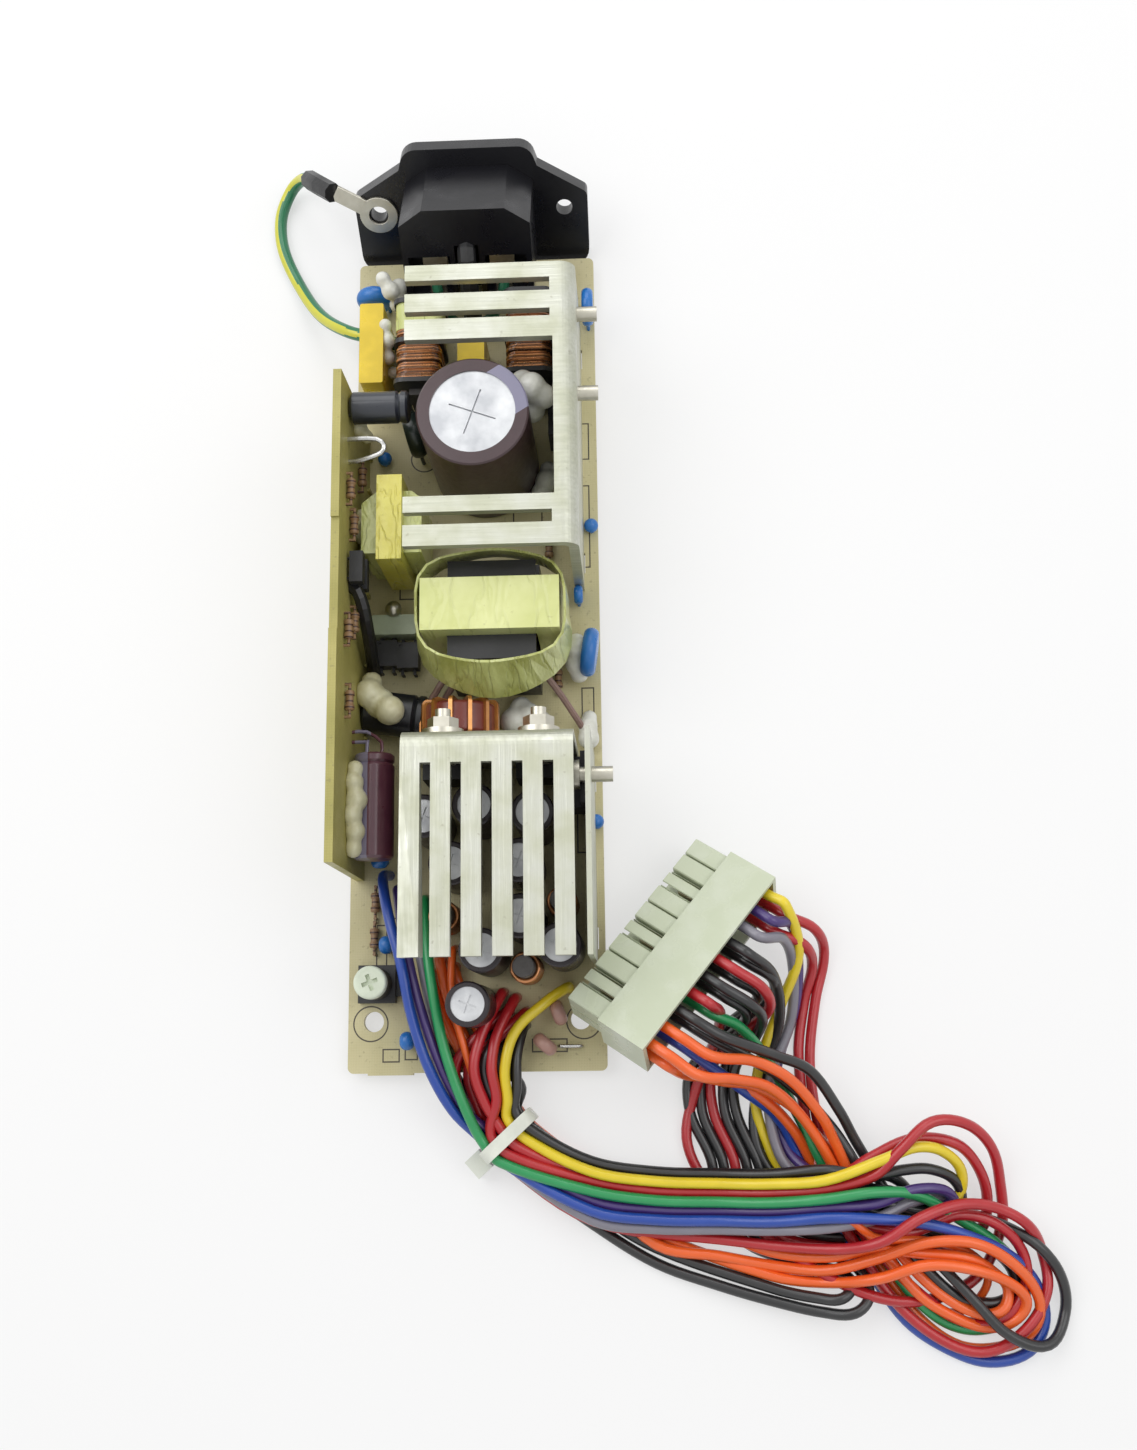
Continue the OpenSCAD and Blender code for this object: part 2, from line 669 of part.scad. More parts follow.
module choke_windings() {
    room = choke[1] / 2 - choke_wall;
    turn = room / choke_turns;
    color("#8c4a22") on_board() each_choke() for (s = [-1, 1]) for (i = [0 : choke_turns - 1])
        translate([0, s * (choke_wall / 2 + (i + 0.5) * turn), 0]) choke_slice(i % 2 == 0 ? -0.25 : 0.05, turn);
}

module choke_tape() {
    room = choke[1] / 2 - choke_wall - 2;
    color("#c9c85c") on_board() translate([choke_at[0][0], choke_at[0][1], 0])
        translate([0, choke[1] / 4 + room / 2 + 1, choke_mid]) rotate([90, 0, 0]) linear_extrude(room) difference() {
            translate([-choke[0] / 2 - 0.2, -choke[2] / 2 - 0.2])
                rounded_rect(choke[0] + 0.4, choke[2] + 0.4, 2.4);
            translate([-choke[0] / 2 - 0.05, -choke[2] / 2 - 0.05])
                rounded_rect(choke[0] + 0.1, choke[2] + 0.1, 2.2);
        }
}

module film_capacitor(at, size) translate([at[0], at[1], 0]) {
    translate([0, 0, 0.5]) rounded_block([size[0], size[1], size[2] - 0.5], 0.4);
    for (s = [-1, 1]) lead([0, s * (size[1] / 2 - 1.5)], 0.6);
}

module film_capacitors() {
    color("#c9b024") on_board() {
        film_capacitor(film_a_at, film_a);
        film_capacitor(film_b_at, film_b);
    }
}

// A disc on edge: rounded coating, two leads, its axis at angle from +X
module disc(at, r, t, lift, angle) translate([at[0], at[1], 0]) rotate([0, 0, angle]) {
    translate([-t / 2, 0, lift + r]) rotate([0, 90, 0]) rotate_extrude() {
        square([r - t * 0.4, t]);
        translate([r - t * 0.4, t / 2]) intersection() {
            scale([0.8, 1]) circle(t / 2);
            translate([0, -t]) square([t, 2 * t]);
        }
    }
    for (s = [-1, 1]) lead([0, s * r * 0.6], lift + r * 0.4);
}

big_disc_at = [board_w - 2, 82.9];
small_disc_at = [board_w - 4.2, 96];
far_disc_at = [board_w - 1.3, 159.2];
left_disc_at = [4.4, 162.6];
edge_disc_at = [12.2, 6.2];
mid_disc_at = [7.9, 24.9];
near_control_disc_at = [6.4, 41.6];
bead_at = [[6.2, 127.8], [board_w - 1.4, 111.6], [board_w - 1.3, 49]];

module blue_capacitors() {
    color("#2463b4") on_board() {
        disc(big_disc_at, 5, 3, 1.6, -8);
        disc(small_disc_at, 2, 1.8, 1.5, 0);
        disc(far_disc_at, 4, 2.4, 1.5, 0);
        disc(left_disc_at, 4, 3.4, 1.5, 90);
        disc(edge_disc_at, 1.8, 2.8, 1.2, 0);
        disc(mid_disc_at, 1.8, 2.8, 1.2, 0);
        disc(near_control_disc_at, 1.8, 2.8, 1.2, 90);
        for (at = bead_at) translate([at[0], at[1], 0]) {
            translate([0, 0, 1.5]) sphere(1.5, $fn = 24);
            for (s = [-0.8, 0.8]) lead([0, s], 0.8);
        }
    }
}

module thermistor() {
    color("#2d3a30") on_board() disc(thermistor_at, thermistor[0], thermistor[1], 4, 15);
}

// Main transformer

module e_core_outline(w, h, limb, yoke) {
    difference() {
        translate([-w / 2, 0]) square([w, h]);
        translate([-w / 2 + limb, yoke]) square([w - 2 * limb, h - 2 * yoke]);
    }
}

main_yoke = 4.6;
main_foot = 2.2;

module transformer_core() {
    w = main_core[0] - 2 * core_tape;
    color("#e2eb9c") on_board() translate([main_at[0], main_at[1], 0]) {
        translate([0, main_core[1] / 2, main_foot]) rotate([90, 0, 0]) linear_extrude(main_core[1])
            e_core_outline(w, main_core[2] - main_foot, main_limbs[0], main_yoke);
        translate([0, 0, main_foot + main_yoke - eps])
            cylinder(r = main_limbs[1], h = main_core[2] - main_foot - 2 * main_yoke + 2 * eps);
    }
}

main_mid = main_foot + (main_core[2] - main_foot) / 2;

module transformer_bobbin() {
    bore = main_limbs[1] + 0.15;
    flange_t = 1;
    inner_w = main_core[0] - 2 * core_tape - 2 * main_limbs[0] - 0.4;
    depth = 2 * main_winding[0] + 2.4;
    top = main_core[2] - main_yoke - 0.1;
    foot = main_foot + main_yoke + 0.1;
    color("#17171a") on_board() translate([main_at[0], main_at[1], 0]) difference() {
        union() {
            translate([0, 0, foot]) cylinder(r = bore + 0.8, h = top - foot);
            for (z = [foot, top - flange_t]) translate([-inner_w / 2, -depth / 2, z])
                cube([inner_w, depth, flange_t]);
            for (s = [-1, 1]) translate([-inner_w / 2, s * (depth / 2 + 1) - 2, 1.2])
                cube([inner_w, 4, foot + flange_t - 1.2]);
            for (s = [-1, 1], i = [-2 : 2]) translate([i * 4, s * (depth / 2 + 1), 0])
                cylinder(r = 0.5, h = 2);
        }
        translate([0, 0, -1]) cylinder(r = bore, h = main_core[2] + 2);
        translate([-inner_w / 2 - 1, -main_core[1] / 2 - 0.1, 0.5])
            cube([inner_w + 2, main_core[1] + 0.2, foot - 0.5]);
    }
}

module transformer_winding() {
    foot = main_foot + main_yoke + 1.3;
    room = main_core[2] - main_yoke - 1.3 - foot;
    rows = 10;
    pitch = room / rows;
    color("#a0622c") on_board() translate([main_at[0], main_at[1], foot]) rotate_extrude() {
        translate([main_limbs[1] + 1, 0]) square([main_winding[0] - main_limbs[1] - 1 - pitch / 2, room]);
        for (i = [0 : rows - 1]) translate([main_winding[0] - pitch / 2, (i + 0.5) * pitch])
            circle(pitch / 2, $fn = 16);
    }
}

// The loose outer tape: a flared skirt round the winding and the outer limbs
tape_top = main_core[2] - 1.4;
tape_drop = 9.4;
tape_wall = 0.5;
tape_steps = 32;
function tape_half(a) = let (c = abs(cos(a)), s = abs(sin(a)))
    [(main_core[0] / 2 + 0.6) / max(c, 0.0001), (main_winding[0] + 1.8) / max(s, 0.0001)];
function tape_r(a, flare) = let (h = tape_half(a)) 1 / pow(pow(1 / h[0], 3.2) + pow(1 / h[1], 3.2), 1 / 3.2)
    + flare * (0.12 + 0.88 * pow(abs(sin(a)), 2)) * (sin(a) < 0 ? 1 : 0.35);
function tape_ring(flare, z, wave, out) = [for (i = [0 : tape_steps - 1])
    let (a = 360 * i / tape_steps, r = tape_r(a, flare) + out)
    [r * cos(a), r * sin(a), z + wave * sin(5 * a + 20)]];

module transformer_tape() {
    rings = [
        tape_ring(0.4, tape_top, 0.7, tape_wall), tape_ring(5.4, tape_top - tape_drop, 0.4, tape_wall),
        tape_ring(5.4, tape_top - tape_drop, 0.4, 0), tape_ring(0.4, tape_top, 0.7, 0)];
    n = tape_steps;
    color("#b7bf62") on_board() translate([main_at[0], main_at[1], 0])
        polyhedron([for (ring = rings, p = ring) p],
            [for (j = [0 : 3], i = [0 : n - 1]) let (a = j * n, b = ((j + 1) % 4) * n, k = (i + 1) % n)
                each [[a + i, a + k, b + k], [a + i, b + k, b + i]]]);
}

lead_wire_d = 1.4;
flying_routes = [
    [[40, 78.6, 9], [41, 77, 9.6], [43.6, 73.6, 8], [46.4, 69.6, 5], [47.6, 68, 2.4], [47.8, 67.8, 0]],
    [[21, 78.6, 8], [20, 77.6, 8.6], [17.4, 74, 7], [15.4, 71.6, 3.6], [15, 71, 0]],
    [[22.8, 78.6, 7], [21.8, 76.8, 7.2], [19.4, 73.6, 5.4], [17.4, 71, 2.6], [17, 70.6, 0]]
];
sleeved_route = [[2.8, 93.6, 21], [4.4, 92.6, 21.5], [5.4, 89.6, 20], [5.6, 86, 16], [5.4, 82.8, 10],
    [4.8, 81, 4], [4.6, 80.8, 0]];
sleeved_d = 2.6;

module flying_leads() {
    color("#b08f86") on_board() for (route = flying_routes) tube(smooth(route), lead_wire_d);
    color("#1d1b20") on_board() tube(smooth(sleeved_route), sleeved_d);
}

// Standby transformer

standby_foot = 2;

module standby_core() {
    color("#d9cf52") on_board() translate([standby_at[0], standby_at[1], 0]) {
        translate([-standby_core_size[0] / 2, 0, 0]) rotate([90, 0, 90]) linear_extrude(standby_core_size[0])
            translate([0, standby_foot]) e_core_outline(standby_core_size[1],
                standby_core_size[2] - standby_foot, 2.2, 3.2);
    }
}

module standby_winding() {
    foot = standby_foot + 3.3;
    room = standby_core_size[1] - 4.6;
    color("#dbe07c") on_board() translate([standby_at[0], standby_at[1], 0]) {
        translate([0, 0, foot]) linear_extrude(standby_core_size[2] - 6.6 - standby_foot)
            polygon([[-standby_body[0] / 2, -room / 2], [standby_body[0] / 2, -room / 2],
                [standby_body[0] / 2, room / 2 - 1.6], [standby_body[0] / 2 - 2, room / 2],
                [-standby_body[0] / 2 + 3, room / 2], [-standby_body[0] / 2, room / 2 - 2.4]]);
        for (s = [-1, 1]) translate([s * (standby_body[0] / 2 - 1.6) - 1.4, -room / 2 + 0.4, 1])
            cube([2.8, room - 1, foot - 1 + eps]);
        for (s = [-1, 1], y = [-4, 0, 4]) lead([s * (standby_body[0] / 2 - 1.6), y], 1.2);
    }
}

// Output toroid, standing on edge across the board

module toroid_core() {
    color("#8c3a30") on_board() translate([toroid_at[0], toroid_at[1], toroid[0] + toroid_wire])
        rotate([90, 0, 0]) translate([0, 0, -toroid[2] / 2]) rotate_extrude()
            translate([toroid[1], 0]) rounded_rect(toroid[0] - toroid[1], toroid[2], 0.8);
}

module toroid_winding() {
    w = toroid_wire;
    wide = toroid[0] - toroid[1];
    color("#b86a28") on_board() translate([toroid_at[0], toroid_at[1], toroid[0] + w]) rotate([90, 0, 0])
        for (i = [0 : toroid_turns - 1]) rotate([0, 0, 15 + i * 330 / toroid_turns])
            rotate([90, 0, 0]) translate([0, 0, -w / 2]) linear_extrude(w) difference() {
                translate([toroid[1] - w, -toroid[2] / 2 - w]) rounded_rect(wide + 2 * w, toroid[2] + 2 * w, 1.2);
                translate([toroid[1], -toroid[2] / 2]) rounded_rect(wide, toroid[2], 0.8);
            }
}

// Output capacitors and rod chokes

output_places = [
    [27.1, 50.1], [38.3, 48.5], [17.4, 48.1], [22.6, 39], [35.6, 39.4], [35.7, 28.9],
    [28.4, 22.6], [43.2, 23.4], [25.9, 12.7]
];
rod_places = [[36.2, 19.6], [20.6, 29.6], [43.4, 32]];
rod_lift = 1.5;

module output_capacitors() {
    color("#dcdcd8") on_board() for (at = output_places) translate([at[0], at[1], 0]) {
        translate([0, 0, 0.4]) can(output_can[0], output_can[1] - 0.4 - sleeve_wall, 1.8, 0.35);
        for (s = [-1.7, 1.7]) lead([s, 0], 0.5);
    }
}

module output_sleeves() {
    color("#3b2f3a") on_board() for (at = output_places) translate([at[0], at[1], 0])
        can_sleeve(output_can[0], output_can[1] - sleeve_wall, output_can[0] - 0.7);
}

module rod_choke_cores() {
    color("#34333a") on_board() for (at = rod_places) translate([at[0], at[1], rod_lift])
        rotate_extrude() polygon(concat([[0, 0], [rod_core[0], 0]],
            arc([rod_core[0] - 0.3, rod_core[1] - 0.3], 0.3, 0, 90, 3), [[0, rod_core[1]]]));
}

module rod_choke_windings() {
    mid = rod_core[0] + rod_wire / 2;
    color("#8a4b22") on_board() for (at = rod_places) translate([at[0], at[1], rod_lift + 1]) {
        rotate_extrude() {
            for (i = [0 : rod_turns - 1]) translate([mid, (i + 0.5) * rod_wire]) circle(rod_wire / 2, $fn = 16);
            translate([mid - rod_wire / 2, rod_wire / 2]) square([rod_wire / 2, (rod_turns - 1) * rod_wire]);
        }
        for (s = [-1, 1]) translate([s * mid, 0, -rod_lift - 1]) cylinder(r = lead_r, h = rod_lift + 1.4);
    }
}

// Nylon post

post_neck = 2.2;

module post_screw() {
    head = 2;
    color("#d8e2cf") on_board() translate([post_at[0], post_at[1], 0]) difference() {
        union() {
            translate([0, 0, post[1] - head]) rotate_extrude() polygon(concat([[0, 0], [post[0], 0]],
                arc([post[0] - 0.5, head - 0.5], 0.5, 0, 90, 4), [[0, head]]));
            cylinder(r = post_neck, h = post[1] - head + eps);
        }
        for (a = [20, 110]) translate([0, 0, post[1] - 0.8]) rotate([0, 0, a])
            translate([-1.6, -0.4, 0]) cube([3.2, 0.8, 1]);
    }
}

module post_body() {
    color("#1b3233") on_board() translate([post_at[0], post_at[1], 0]) {
        difference() {
            union() {
                translate([-3.7, -3.7, 0]) cube([7.4, 7.4, 2.6]);
                translate([0, 0, 2.6 - eps]) cylinder(r = 3.1, h = post[1] - 4.7);
            }
            translate([0, 0, -1]) cylinder(r = post_neck + 0.05, h = post[1] + 2);
        }
        translate([3.7, -2.4, 0.6]) cube([1.5, 4.8, 0.8]);
    }
}

// Parts on and beside the control board

control_face = control_x + control_t;
control_can_at = [control_face + control_can[0] + 0.6, 40.4, 15.8];
cross_can_at = [control_face + 0.4, 129.6, 24];

module lying_can(r, l) {
    rotate_extrude() polygon([[0, 0], [r - 0.5, 0], [r, 0.5], [r, l - 2.4], [r - 0.35, l - 1.9],
        [r, l - 1.4], [r, l - 0.4], [r - 0.4, l], [0, l]]);
}

module control_capacitors() {
    color("#4e343f") on_board() {
        translate(control_can_at) rotate([-90, 0, 0]) lying_can(control_can[0], control_can[1]);
        for (s = [-1, 1]) tube(smooth([[control_can_at[0] + s * 1.4, control_can_at[1] + control_can[1] - 0.1,
            control_can_at[2] + 1], [control_can_at[0] + s * 1.4, control_can_at[1] + control_can[1] + 2.4,
            control_can_at[2] + 0.6], [control_can_at[0] - 1.6, control_can_at[1] + control_can[1] + 3.6 + s,
            control_can_at[2]], [control_face, control_can_at[1] + control_can[1] + 3.6 + s, control_can_at[2]]]),
            0.7);
    }
    color("#31313c") on_board() {
        translate(cross_can_at) rotate([90, 0, 90]) lying_can(cross_can[0], cross_can[1]);
        for (s = [-1, 1]) translate([control_face, cross_can_at[1] + s * 1.4, cross_can_at[2]])
            rotate([0, 90, 0]) cylinder(r = 0.35, h = 0.5);
    }
}

black_at = [8.9, 71.4];

module black_capacitor() {
    color("#16171c") on_board() translate([black_at[0], black_at[1], black_can[0] + 0.2])
        rotate([0, 0, -8]) {
            translate([-black_can[1] / 2 + 0.6, 0, 0]) rotate([90, 0, 90]) lying_can(black_can[0], black_can[1]);
            for (s = [-1, 1]) translate([-black_can[1] / 2 - 0.9, s * 1.6, 0]) {
                rotate([0, 90, 0]) cylinder(r = 0.35, h = 1.6);
                translate([0, 0, -black_can[0] - 0.2]) cylinder(r = 0.35, h = black_can[0] + 0.2);
                sphere(r = 0.35);
            }
        }
}

coupler_places = [[11.8, 83.9], [7.4, 84.4]];

module coupler() {
    translate([-2.2, -2.7, 0.6]) difference() {
        cube([4.4, 5.4, 3.5]);
        translate([0.8, 4.6, 3.2]) cylinder(r = 0.4, h = 1, $fn = 16);
    }
    for (x = [-1.27, 1.27], s = [-1, 1]) {
        translate([x - 0.3, s > 0 ? 2.6 : -3.8, 2]) cube([0.6, 1.2, 0.3]);
        translate([x - 0.3, s > 0 ? 3.5 : -3.8, 0]) cube([0.6, 0.3, 2.2]);
    }
}

module optocouplers() {
    color("#202226") on_board() {
        for (at = coupler_places) translate([at[0], at[1], 0]) coupler();
        for (i = [0, 1]) translate([control_face, 96.6, 18.4 + i * 5]) {
            translate([0.6, -3.1, -1.1]) cube([2.6, 6.2, 2.2 + i * 0.4]);
            for (y = [-2, 2]) translate([0, y, 0]) rotate([0, 90, 0]) cylinder(r = 0.3, h = 0.7);
        }
    }
}

bar_at = [9, 90.2];
bar = [9.4, 4.2, 5];
dome_at = [9, 93.4];
dome_z = 5.4;

module insulating_bar() {
    color("#a8b8a0") on_board() translate([bar_at[0], bar_at[1], 0]) rounded_block(bar, 0.6);
}

// An axial resistor along +Y: barrel with fat ends, leads bent down at both ends
module axial(at, height, span) translate([at[0], at[1], height]) {
    rotate([-90, 0, 0]) translate([0, 0, -1.9]) rotate_extrude()
        polygon([[0, 0], [0.8, 0], [0.95, 0.3], [0.95, 0.9], [0.75, 1.2], [0.75, 2.6], [0.95, 2.9],
            [0.95, 3.5], [0.8, 3.8], [0, 3.8]]);
    for (s = [-1, 1]) {
        translate([0, s > 0 ? 1.8 : -span / 2, 0]) rotate([-90, 0, 0]) cylinder(r = 0.3, h = span / 2 - 1.8);
        translate([0, s * span / 2, -height]) cylinder(r = 0.3, h = height + 0.3);
    }
}

board_resistor_places = [[5.3, 33.5], [5.2, 26.4], [42.6, 78.8], [41, 107]];
control_resistor_places = [[86.6, 20], [83.6, 26], [112, 26], [106, 22], [70, 24], [119, 14]];

module resistors() {
    color("#8a6a54") on_board() {
        for (at = board_resistor_places) axial(at, 1.2, 6.4);
        for (p = control_resistor_places) translate([control_face, p[0], p[1]]) rotate([0, 90, 0])
            axial([0, 0], 0.95, 6.4);
    }
}

pink_places = [[42, 11.2], [39.3, 5.2]];

module pink_capacitors() {
    color("#b98f88") on_board() {
        disc(pink_places[0], 2.5, 2.6, 1.5, 20);
        disc(pink_places[1], 2.6, 2.6, 1.2, 50);
    }
}

link_routes = [
    [[42, 4.8, 0], [42, 4.8, 0.7], [42.8, 4.8, 1], [45.4, 4.8, 1], [46.2, 4.8, 0.7], [46.2, 4.8, 0]],
    [[2.8, 122.4, 25.6], [5, 122.4, 25.8], [8.6, 122.2, 25.8], [10, 121, 25.6], [9.4, 119.6, 25.2],
        [6.6, 118.8, 24.6], [4.4, 118.4, 24.2], [2.8, 118.4, 24]]
];

module wire_links() {
    color("#d3cfc4") on_board() {
        tube(smooth(link_routes[0]), 0.7);
        tube(smooth(link_routes[1]), 1);
    }
}

// Adhesive: soft blobs that bond the tall parts, cut back where the parts stand

module blob(at, r) translate(at) sphere(r);

module adhesive() {
    color("#e6e4cf") on_board() {
        difference() {
            blob([6, 72.4, 9], 3.6);
            black_shadow();
            translate([-1, 60, 0]) cube([control_face + 1, 30, 40]);
        }
        difference() {
            union() {
                translate([4, 44, 20.4]) rotate([-90, 0, 0]) cylinder(r = 2, h = 12);
                for (y = [44, 56]) blob([4, y, 20.4], 2);
            }
            translate([0, 30, 0]) cube([control_face, 60, 60]);
            translate(control_can_at - [0, 2, 0]) rotate([-90, 0, 0]) cylinder(r = control_can[0], h = 40);
        }
        difference() {
            blob([37.6, 134.5, 22.2], 3.6);
            translate([bulk_at[0], bulk_at[1], 0]) cylinder(r = bulk[0] + sleeve_wall, h = 60);
            translate([choke_at[1][0] - 10, choke_at[1][1] - choke[1] / 2 - choke_limb - 1, 0]) cube([20, 30, 60]);
        }
        difference() {
            blob([33.4, 69.8, 4.6], 4);
            translate([0, 0, -20]) cube([60, 100, 20]);
            translate([toroid_at[0] - 20, toroid_at[1] - 10, 0]) cube([20 + toroid[0] + 1, 20, 40]);
        }
        difference() {
            blob([48.8, 66, 1.6], 2.6);
            translate([0, 0, -20]) cube([60, 100, 20]);
            translate([side_x - 10, 0, 0]) cube([side_sheet + 12, secondary_ends[1] + 1.2, 40]);
        }
        difference() {
            blob([46.6, 82.4, 4.8], 2.8);
            translate([0, 0, -20]) cube([60, 100, 20]);
            translate([big_disc_at[0], big_disc_at[1], 0]) rotate([0, 0, -8]) translate([-1.5, -20, -1]) cube([20, 40, 40]);
            translate([main_at[0], main_at[1], 0]) cube([2 * (main_core[0] / 2 + 0.6 + tape_wall), 40, 80], center = true);
        }
    }
}

module black_shadow() translate([black_at[0], black_at[1], black_can[0] + 0.2]) rotate([0, 0, -8])
    translate([-black_can[1], 0, 0]) rotate([0, 90, 0]) cylinder(r = black_can[0], h = 2 * black_can[1]);

// Solder joints under the board, one below each lead

lead_places = concat(
    pair(bulk_at, 10),
    [for (at = output_places) each pair(at, 3.4)],
    [for (at = rod_places) each pair(at, 2 * rod_core[0] + rod_wire)],
    [for (at = choke_at, s = [-1, 1], t = [-1, 1]) at + [s * (choke[0] / 2 - 1), t * choke[1] / 2]],
    [for (s = [-1, 1]) film_a_at + [0, s * (film_a[1] / 2 - 1.5)]],
    [for (s = [-1, 1]) film_b_at + [0, s * (film_b[1] / 2 - 1.5)]],
    [for (s = [-1, 1], i = [-2 : 2]) main_at + [i * 4, s * (main_winding[0] + 2.2)]],
    [for (s = [-1, 1], y = [-4, 0, 4]) standby_at + [s * (standby_body[0] / 2 - 1.6), y]],
    [for (i = [0 : 2 : 11]) [control_x + control_t / 2,
        control_ends[0] + 6 + i * (control_ends[1] - control_ends[0] - 12) / 11]],
    [for (at = coupler_places, x = [-1.27, 1.27], s = [-1, 1]) at + [x, s * 3.65]],
    [for (at = board_resistor_places, s = [-1, 1]) at + [0, s * 3.5]],
    [for (y = transistor_y, x = [-2.54, 0, 2.54])
        [primary_wall_x - primary_sheet - 2.6, y + x]],
    [for (at = rectifier_x, x = [-2.54, 0, 2.54]) [at + x, secondary_ends[1] - secondary_sheet - 2.6]],
    inlet_holes
);

module solder_joints() {
    waist = 0.5;
    color("#b9bbb8") on_board() for (at = lead_places) translate([at[0], at[1], -board_t]) {
        mirror([0, 0, 1]) {
            cylinder(r1 = solder_r, r2 = waist, h = lead_below * 0.7);
            cylinder(r = waist - 0.05, h = lead_below);
        }
    }
}

// Connector, in its own frame: x along the row, y towards the silos, z up, wires leave towards -y

housing_len = circuits * circuit_pitch + 2 * housing_end;
row_gap = circuit_pitch;
conn_corner = [50, 9.5, 19.9];
conn_turn = [-19, 16, 50.7];

module connector_frame() translate(conn_corner) rotate(conn_turn) children();

function turned(p, t) = let (
    a = [p[0], p[1] * cos(t[0]) - p[2] * sin(t[0]), p[1] * sin(t[0]) + p[2] * cos(t[0])],
    b = [a[0] * cos(t[1]) + a[2] * sin(t[1]), a[1], a[2] * cos(t[1]) - a[0] * sin(t[1])])
    [b[0] * cos(t[2]) - b[1] * sin(t[2]), b[0] * sin(t[2]) + b[1] * cos(t[2]), b[2]];
function from_connector(p) = conn_corner + turned(p, conn_turn);
function circuit_x(k) = housing_end + (k + 0.5) * circuit_pitch;
function row_z(row) = -housing_h / 2 + (row == 0 ? 0.5 : -0.5) * row_gap;

module connector_housing() {
    wall = (circuit_pitch - cavity) / 2;
    color("#ccd6b8") on_board() connector_frame() difference() {
        union() {
            difference() {
                translate([0, -collar_depth, -housing_h]) cube([housing_len, collar_depth, housing_h]);
                translate([0.9, -collar_depth - 1, 0.9 - housing_h])
                    cube([housing_len - 1.8, 3.6, housing_h - 1.8]);
            }
            for (k = [0 : circuits - 1], row = [0, 1]) {
                cut = (k + row) % 3 == 1 ? 0.9 : 0.2;
                translate([circuit_x(k), 0, row_z(row)]) rotate([-90, 0, 0]) translate([0, 0, -eps])
                    linear_extrude(silo_len + eps) silo_outline(circuit_pitch - 0.35, cut, row);
            }
        }
        for (k = [0 : circuits - 1], row = [0, 1]) translate([circuit_x(k), 0, row_z(row)])
            translate([-cavity / 2, -collar_depth - 1, -cavity / 2])
                cube([cavity, collar_depth + silo_len + 2, cavity]);
    }
}

// One silo's outline, its outer corners cut; the outer face is up on the top row
module silo_outline(w, cut, row) {
    h = w / 2;
    flip = row == 0 ? -1 : 1;
    polygon([for (p = [[-h, -h], [h, -h], [h, h - cut], [h - cut, h], [cut - h, h], [-h, h - cut]])
        [p[0], flip * p[1]]]);
}

crimp_y = -5.4;

module connector_contacts() {
    color("#c9b98a") on_board() connector_frame() for (k = [0 : circuits - 1], row = [0, 1])
        if (!(row == 1 && k == 7)) translate([circuit_x(k), crimp_y, row_z(row)]) {
            rotate([-90, 0, 0]) cylinder(r = 1, h = 3, $fn = 12);
            translate([0, 3 - eps, 0]) rotate([-90, 0, 0]) difference() {
                translate([-1.3, -1.3, 0]) cube([2.6, 2.6, 6.4]);
                translate([-0.9, -0.9, 0.8]) cube([1.8, 1.8, 6.4]);
            }
        }
}

// Harness

table = -board_t - lead_below;
tie_at = [32, -12];
tie_heading = -48;
lane_pitch = 2.15;
tie_lanes = 5;
tie_layers = 4;

// A wire's place in the tied bundle: lane counts from the left, layer from the table
function tie_point(lane, layer, along = 0) = let (s = (lane - (tie_lanes - 1) / 2) * lane_pitch)
    [tie_at[0] + s * cos(tie_heading + 90) + along * cos(tie_heading),
        tie_at[1] + s * sin(tie_heading + 90) + along * sin(tie_heading),
        table + 1.1 + layer * lane_pitch];
function tied(lane, layer) = [for (along = [-2.6, 2.6]) tie_point(lane, layer, along)];
function plugged(k, row, dx = 0, dz = 0) = [for (y = [-collar_depth - 4, -collar_depth - 0.5, crimp_y])
    from_connector([circuit_x(k) + dx, y, row_z(row) + dz])];

// Each wire's points on the board before the tie, and from the tie to the connector
yellow_from = [[44, 16, 0], [43.6, 16, 3.4], [39.6, 13.2, 6], [33.8, 7.8, 7], [31.7, 1, 7], [32, -5, 5.4]];
yellow_run = [[48, -18.7, 4], [60, -20.6, 4], [72, -21.1, 4], [82, -21.1, 6.2], [92, -20.3, 8.4],
    [103, -16.6, 8.4], [109, -14.6, 7.6], [114, -15.4, 6], [118, -19.4, 3], [117, -24.4, 1.4],
    [109, -27, 1.9], [100, -26.4, 1.9], [91, -23.6, 0], [85, -20, -2.5], [82, -14, -2.5],
    [80, -7, -1.4], [81, 1, -0.6], [85.4, 12, 0.6], [89, 22, 4.6]];
red1_from = [[33.6, 14.4, 0], [33.2, 13.6, 3.6], [30.2, 7, 7], [29.2, 1, 7.6], [30, -5, 6]];
red1_run = [[48, -20.5, 2.6], [60, -22.4, 2.6], [72, -22.8, 2.6], [82, -22.8, 4.8], [92, -22, 7],
    [101, -19.6, 7.4], [106, -14.8, 9], [112, -10, 8.6], [119, -10.6, 6], [124, -15, 2.6],
    [126, -22, -1], [126, -30, -2.5], [121, -39, -2.5], [111, -43, -0.6], [100, -41.8, 1.9],
    [88, -36, 0], [77, -28, -2.5], [69.6, -21, -2.5], [66.4, -13, -2.5], [68.4, -4, -1.6],
    [72, 5, 5], [73, 10.4, 12]];
green_from = [[15.5, 34, 0], [15.6, 33, 4], [17, 22, 9], [19.4, 8, 9], [21.6, 0, 8], [24.6, -8, 6]];
green_run = [[48, -22.3, 4], [60, -24.1, 4], [72, -24.5, 4], [82, -24.5, 6.2], [92, -23.7, 8.4],
    [101, -22.6, 8.4], [109, -23.4, 6], [117, -28, 2.6], [125, -33.4, 0], [129.6, -40, -2.5],
    [128, -46, -2.5], [121, -48.6, -2.5], [114.6, -47.4, -2], [108.6, -42.6, -0.4], [101.6, -33, -0.4],
    [93.4, -20, -0.4], [88, -9, 0], [82.6, 1, 4], [76.6, 8, 10.6]];
black1_from = [[35.4, 9, 0], [35, 8.4, 3], [33.9, 3, 5.4], [33.8, -3, 5]];
